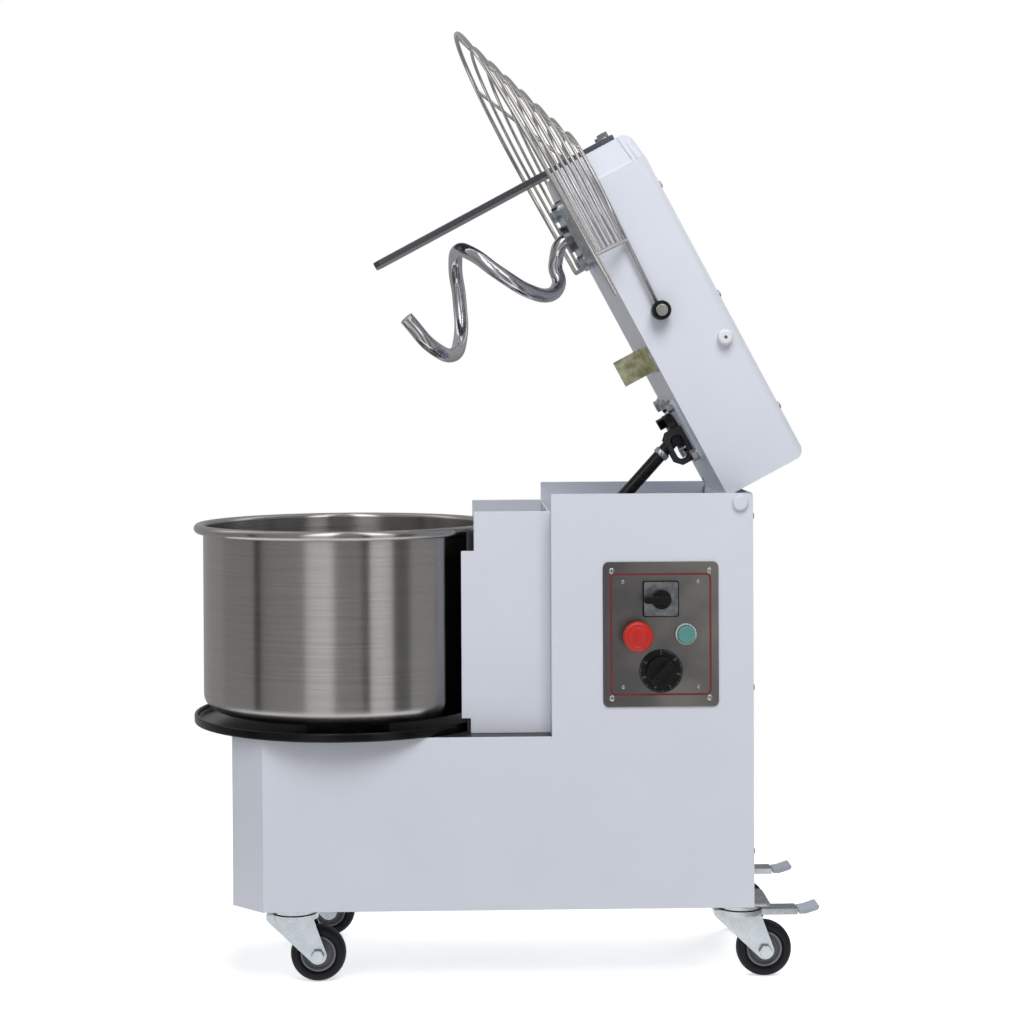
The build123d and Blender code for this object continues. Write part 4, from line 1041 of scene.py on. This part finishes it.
    def _timer(self) -> None:
        """Print the scale on the timer's dial."""
        spot = joint_place("timer_turn")
        proud = (self.centre.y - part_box("timer_base")[0].y) / MM
        place = self.on_plate(spot.x, spot.z, proud)
        long_tick, short_tick = (
            plate("tick", [(inner, -half), (outer, -half), (outer, half), (inner, half)], self.ink_mm)
            for inner, outer, half in (self.long_tick_mm, self.short_tick_mm))
        ticks = []
        for k in range(self.dial_ticks):
            angle = math.radians(90 - k * self.dial_sweep_deg / (self.dial_ticks - 1))
            model = short_tick if k % self.long_tick_every else long_tick
            ticks.append(copied(model, "tick", place @ Matrix.Rotation(angle, 4, "Z")))
        for k in range(0, self.dial_ticks, self.number_every):
            angle = math.radians(90 - k * self.dial_sweep_deg / (self.dial_ticks - 1))
            ticks.append(self._number(str(k), place, angle))
        scrap(long_tick)
        scrap(short_tick)
        mount(joined("timer_scale", ticks), "chassis", PALE_INK)

    def _number(self, text: str, place: Matrix, angle: float) -> bpy.types.Object:
        """Set one number of the scale.

        Args:
            text: The number.
            place: Centre of the dial.
            angle: Direction of the number on the dial.

        Returns:
            The number as a mesh.
        """
        deselect()
        bpy.ops.object.text_add()
        number = bpy.context.object
        number.data.body = text
        number.data.size = self.number_mm * MM
        number.data.align_x = "CENTER"
        number.data.align_y = "CENTER"
        number.data.extrude = self.ink_mm / 2 * MM
        bpy.ops.object.convert(target="MESH")
        spot = Vector((math.cos(angle), math.sin(angle), 0)) * self.number_ring_mm * MM
        spot.z = self.ink_mm / 2 * MM
        return stand(bpy.context.object, place @ Matrix.Translation(spot))


@dataclass
class Casters:
    """Four swivel castors with rubber wheels, the rear pair braked."""

    radius_mm: float = 37.5
    width_mm: float = 26.0
    hub_mm: float = 24.0
    leg_face_mm: float = 18.5
    nut_mm: tuple[float, float] = (9.2, 6.5)
    ring_mm: tuple[tuple[float, float], ...] = (
        (21.4, 8.4), (21.7, 9.9), (22.6, 10.4), (23.6, 10.0), (23.9, 8.4), (21.4, 8.4))
    plate_edge_mm: float = 0.6
    fork_edge_mm: float = 0.7
    pedal_edge_mm: float = 2.8
    spots: tuple[str, ...] = ("front_near", "front_far", "rear_near", "rear_far")

    def build(self) -> None:
        """Build plates, forks, wheels and pedals."""
        refined("caster_plates", ZINC, self.plate_edge_mm)
        tyre, hub, nut, ring = self._tyre(), self._hub(), self._nut(), self._ring()
        for spot in self.spots:
            refined(f"fork_{spot}", ZINC, self.fork_edge_mm)
            middle = joint_place(f"roll_{spot}")
            axle = facing(middle, SIDE_Y, SIDE_X)
            wheel = copied(tyre, f"tyre_{spot}", axle)
            mount(wheel, f"roller_{spot}", RUBBER, (f"wheel_{spot}",))
            core = copied(hub, f"hub_{spot}", axle)
            mount(core, f"roller_{spot}", GREY_NYLON)
            sides = [facing(middle, SIDE_Y * side, SIDE_X) for side in (-1, 1)]
            mount(repeated(f"hub_rings_{spot}", ring, sides), f"roller_{spot}", RING_NYLON)
            seats = [facing(middle + SIDE_Y * side * self.leg_face_mm * MM, SIDE_Y * side, SIDE_X)
                     for side in (-1, 1)]
            mount(repeated(f"axle_nuts_{spot}", nut, seats), f"swivel_{spot}", ZINC)
            if spot.startswith("rear"):
                refined(f"pedal_{spot}", PEDAL_NYLON, self.pedal_edge_mm, segments=4)
        for model in (tyre, hub, nut, ring):
            scrap(model)

    @staticmethod
    def _even_sided(name: str, side: Profile, facets: int, angle: float) -> bpy.types.Object:
        """Turn a part of the wheel that is the same on both sides.

        Args:
            name: Name of the part.
            side: Radius and distance from the middle in millimetres, for one side.
            facets: Number of facets round the axle.
            angle: Edges sharper than this many degrees stay sharp.

        Returns:
            The part, with the axle along z.
        """
        piece = turned(name, side + [(x, -w) for x, w in reversed(side)] + [side[0]], facets)
        soften(piece, 0, angle=angle)
        return piece

    def _tyre(self) -> bpy.types.Object:
        """Turn the tyre with a rounded tread and a step to the hub.

        Returns:
            The tyre, with the axle along z.
        """
        r, half, hub = self.radius_mm, self.width_mm / 2, self.hub_mm
        side = [(hub, half - 4.5), (hub + 1.4, half - 4.0), (hub + 2.4, half - 0.9), (hub + 3.4, half)]
        side += [(r - 6.5, half), (r - 4, half - 0.7), (r - 2, half - 2.4), (r - 0.8, half - 5)]
        side += [(r, half - 10)]
        return self._even_sided("tyre", side, facets=96, angle=35)

    def _hub(self) -> bpy.types.Object:
        """Turn the hub with its stepped web and boss.

        Returns:
            The hub, with the axle along z.
        """
        side = [(6.05, 14.6), (9.5, 14.6), (11.0, 13.4), (11.6, 9.6), (13.0, 8.6), (18.6, 8.2), (19.4, 9.4)]
        side += [(21.0, 9.6), (22.0, 8.4), (self.hub_mm - 0.1, 8.2)]
        return self._even_sided("hub", side, facets=72, angle=30)

    def _ring(self) -> bpy.types.Object:
        """Turn the pale ring between the web and the tyre.

        Returns:
            The ring of one side, with the axle along z.
        """
        piece = turned("hub_ring", list(self.ring_mm), steps=72)
        soften(piece, 0, angle=50)
        return piece

    def _nut(self) -> bpy.types.Object:
        """Shape the hexagon nut on the axle's end.

        Returns:
            The nut, standing on the xy plane.
        """
        radius, height = self.nut_mm
        nut = plate("axle_nut", arc((0, 0), radius, 0, 300, 60), height)
        soften(nut, 0.9, 3)
        return nut


@dataclass(frozen=True)
class Lamp:
    """Square soft lamp, in metres and watts, that looks at a point and that no metal mirrors."""

    name: str
    place: tuple[float, float, float]
    aim: tuple[float, float, float]
    size: float
    power: float

    def hang(self) -> None:
        """Hang the lamp."""
        light = bpy.data.lights.new(self.name, "AREA")
        light.size = self.size
        light.energy = self.power
        lamp = bpy.data.objects.new(self.name, light)
        lamp.location = self.place
        lamp.rotation_euler = (Vector(self.aim) - Vector(self.place)).to_track_quat("-Z", "Y").to_euler()
        lamp.visible_glossy = False
        bpy.context.scene.collection.objects.link(lamp)


@dataclass
class Studio:
    """Pale floor, soft lamps, dim room walls for reflections, and the photograph's camera."""

    lens_mm: float = 72.6
    sensor_mm: float = 36.0
    camera_at: tuple[float, float, float] = (0.1618, -2.920, 0.8034)
    yaw_deg: float = 1.44
    pitch_deg: float = 0.58
    roll_deg: float = -0.28
    shift_y: float = -0.1015
    shadow_reach: tuple[float, float] = (1.0, 2.0)
    wall_radius: float = 1.7
    wall_height: float = 3.0
    wall_gap: float = 0.004
    wall_facets: int = 96
    bare_radius: float = 0.8
    wall_lift: tuple[float, float] = (0.9, 1.8)
    wall_bands: tuple[tuple[float, float], ...] = (
        (0, 0.36), (70, 0.38), (76, 0.31), (108, 0.3), (110, 0.07), (114, 0.07), (116, 0.24), (124, 0.3),
        (150, 0.33), (155, 0.68), (171, 0.72), (176, 0.3), (193, 0.28), (196, 0.08), (199.5, 0.06),
        (201.5, 0.68), (209, 0.72), (217, 0.62), (219.5, 0.12), (230, 0.13), (234, 0.37), (300, 0.38),
        (330, 0.26), (360, 0.36))
    strip_level: float = 3.0
    strip_bands: tuple[tuple[float, float], ...] = (
        (0, 0.15), (60, 0.15), (66, 0.5), (80, 0.5), (86, 0.13), (150, 0.13), (156, 1.0), (171, 1.0),
        (176, 0.13), (199, 0.13), (202, 0.95), (216, 0.95), (220, 0.13), (280, 0.13), (286, 0.5), (300, 0.5),
        (306, 0.15), (360, 0.15))
    floor_size: float = 80.0
    paper_colour: tuple[float, float, float, float] = (0.85, 0.85, 0.86, 1)
    paper_glow: float = 0.6
    world_colour: tuple[float, float, float, float] = (0.97, 0.98, 1, 1)
    world_level: float = 0.15
    lamps: tuple[Lamp, ...] = (
        Lamp("top_softbox", (0.5, -1.5, 2.6), (0.35, 0.0, 0.95), 1.2, 17.0),
        Lamp("front_softbox", (0.7, -2.6, 3.4), (0.35, 0.0, 1.0), 1.8, 60.0),
        Lamp("left_softbox", (-1.6, -2.8, 2.2), (0.1, 0.0, 0.6), 2.0, 19.0),
        Lamp("bowl_side_softbox", (-2.4, 1.2, 1.6), (0.3, 0.0, 0.9), 1.8, 14.0),
        Lamp("rear_softbox", (1.8, 2.8, 2.6), (0.25, 0.0, 0.6), 2.4, 90.0))

    def build(self) -> None:
        """Set up the floor, the walls, the lamps, the world and the camera."""
        bpy.context.scene.view_settings.view_transform = "Standard"
        self._world()
        self._floor()
        self._walls()
        for lamp in self.lamps:
            lamp.hang()
        self._camera()

    @staticmethod
    def _shown(tree: bpy.types.NodeTree) -> bpy.types.NodeSocket:
        """Give 1 for rays that show the background itself: to the camera, off metal and through glass.

        Args:
            tree: Node tree that asks.

        Returns:
            The mask.
        """
        path = add_node(tree, "ShaderNodeLightPath").outputs
        both = add_node(tree, "ShaderNodeMath", {"operation": "MAXIMUM"}, in0=path["Is Camera Ray"],
                        in1=path["Is Glossy Ray"])
        mask = add_node(tree, "ShaderNodeMath", {"operation": "MAXIMUM"}, in0=both.outputs[0],
                        in1=path["Is Transmission Ray"])
        return mask.outputs[0]

    def _world(self) -> None:
        """White where it is seen, a plain level where it lights the object."""
        world = bpy.data.worlds.new("studio")
        bpy.context.scene.world = world
        world.use_nodes = True
        tree = world.node_tree
        tree.nodes.clear()
        seen = add_node(tree, "ShaderNodeBackground", Color=(1, 1, 1, 1), Strength=1.0)
        lit = add_node(tree, "ShaderNodeBackground", Color=self.world_colour, Strength=self.world_level)
        mix = add_node(tree, "ShaderNodeMixShader", in0=self._shown(tree), in1=lit.outputs[0],
                       in2=seen.outputs[0])
        add_node(tree, "ShaderNodeOutputWorld", Surface=mix.outputs[0])

    def _floor(self) -> None:
        """Lay a wide white floor that keeps the shadow."""
        deselect()
        bpy.ops.mesh.primitive_plane_add(size=self.floor_size)
        floor = bpy.context.object
        floor.name = "studio_floor"
        material = bpy.data.materials.new("studio_paper")
        material.use_nodes = True
        tree = material.node_tree
        tree.nodes.clear()
        paper = add_node(tree, "ShaderNodeBsdfDiffuse", Color=self.paper_colour)
        glow = add_node(tree, "ShaderNodeEmission", Color=(1, 1, 1, 1), Strength=self.paper_glow)
        bright = add_node(tree, "ShaderNodeAddShader", in0=paper.outputs[0], in1=glow.outputs[0])
        white = add_node(tree, "ShaderNodeEmission", Color=(1, 1, 1, 1), Strength=1.0)
        place = add_node(tree, "ShaderNodeTexCoord").outputs["Object"]
        away = add_node(tree, "ShaderNodeVectorMath", {"operation": "LENGTH"}, in0=place)
        start, end = self.shadow_reach
        far = add_node(tree, "ShaderNodeMapRange", {"interpolation_type": "SMOOTHSTEP"},
                       Value=away.outputs["Value"], From_Min=start, From_Max=end)
        seen = add_node(tree, "ShaderNodeMixShader", in0=far.outputs["Result"], in1=bright.outputs[0],
                        in2=white.outputs[0])
        mix = add_node(tree, "ShaderNodeMixShader", in0=self._shown(tree), in1=paper.outputs[0],
                       in2=seen.outputs[0])
        add_node(tree, "ShaderNodeOutputMaterial", Surface=mix.outputs[0])
        floor.data.materials.append(material)

    def _walls(self) -> None:
        """Hang dim banded cloth with bright strips around and over the machine, for reflections alone."""
        deselect()
        bpy.ops.mesh.primitive_cylinder_add(vertices=self.wall_facets, radius=self.wall_radius,
                                            depth=self.wall_height,
                                            location=(0, 0, self.wall_height / 2 + self.wall_gap))
        walls = bpy.context.object
        walls.name = "studio_walls"
        unpick(walls.data)
        for face in walls.data.polygons:
            face.select = face.normal.z < LOOKS_DOWN
        bpy.ops.object.mode_set(mode="EDIT")
        bpy.ops.mesh.inset(thickness=self.wall_radius - self.bare_radius)
        bpy.ops.mesh.delete(type="FACE")
        leave_edit()
        material = bpy.data.materials.new("studio_wall_cloth")
        material.use_nodes = True
        tree = material.node_tree
        tree.nodes.clear()
        place = add_node(tree, "ShaderNodeTexCoord").outputs["Object"]
        turn = add_node(tree, "ShaderNodeMapping", Vector=place, Rotation=(0, 0, math.radians(90)))
        angle = add_node(tree, "ShaderNodeTexGradient", {"gradient_type": "RADIAL"},
                         Vector=turn.outputs["Vector"])
        height = add_node(tree, "ShaderNodeSeparateXYZ", Vector=place).outputs["Z"]
        low, high = (level - self.wall_height / 2 for level in self.wall_lift)
        lift = add_node(tree, "ShaderNodeMapRange", Value=height, From_Min=low, From_Max=high)
        layers = []
        for bands, strength in ((self.wall_bands, 1.0), (self.strip_bands, self.strip_level)):
            ramp = add_node(tree, "ShaderNodeValToRGB", Fac=angle.outputs["Fac"])
            elements = ramp.color_ramp.elements
            while len(elements) > 1:
                elements.remove(elements[-1])
            for index, (degrees, level) in enumerate(bands):
                element = elements[0] if index == 0 else elements.new(degrees / 360)
                element.position = degrees / 360
                element.color = (level, level, level, 1)
            layer = add_node(tree, "ShaderNodeEmission", Color=ramp.outputs["Color"], Strength=strength)
            layers.append(layer.outputs[0])
        cloth = add_node(tree, "ShaderNodeMixShader", in0=lift.outputs["Result"], in1=layers[0],
                         in2=layers[1])
        add_node(tree, "ShaderNodeOutputMaterial", Surface=cloth.outputs[0])
        walls.data.materials.append(material)
        for ray in ("camera", "diffuse", "transmission", "volume_scatter", "shadow"):
            setattr(walls, f"visible_{ray}", False)

    def _camera(self) -> None:
        """Stand the camera where the photograph was taken."""
        yaw, pitch, roll = (math.radians(v) for v in (self.yaw_deg, self.pitch_deg, self.roll_deg))
        forward = Vector((math.sin(yaw) * math.cos(pitch), math.cos(yaw) * math.cos(pitch), -math.sin(pitch)))
        right = Vector((math.cos(yaw), -math.sin(yaw), 0))
        up = right.cross(forward)
        right, up = right * math.cos(roll) + up * math.sin(roll), up * math.cos(roll) - right * math.sin(roll)
        data = bpy.data.cameras.new("photo_camera")
        data.lens = self.lens_mm
        data.sensor_width = self.sensor_mm
        data.shift_y = self.shift_y
        camera = bpy.data.objects.new("photo_camera", data)
        bpy.context.scene.collection.objects.link(camera)
        turn = Matrix((right, up, -forward)).transposed()
        camera.matrix_world = Matrix.Translation(self.camera_at) @ turn.to_4x4()
        bpy.context.scene.camera = camera


def main() -> None:
    """Build every sub-assembly and the studio."""
    logging.basicConfig(level=logging.INFO)
    for assembly in (BodyShell(), BowlUnit(), Head(), ControlPlate(), Casters(), Studio()):
        LOG.info("building %s", type(assembly).__name__)
        assembly.build()
    deselect()


if __name__ == "__main__":
    main()
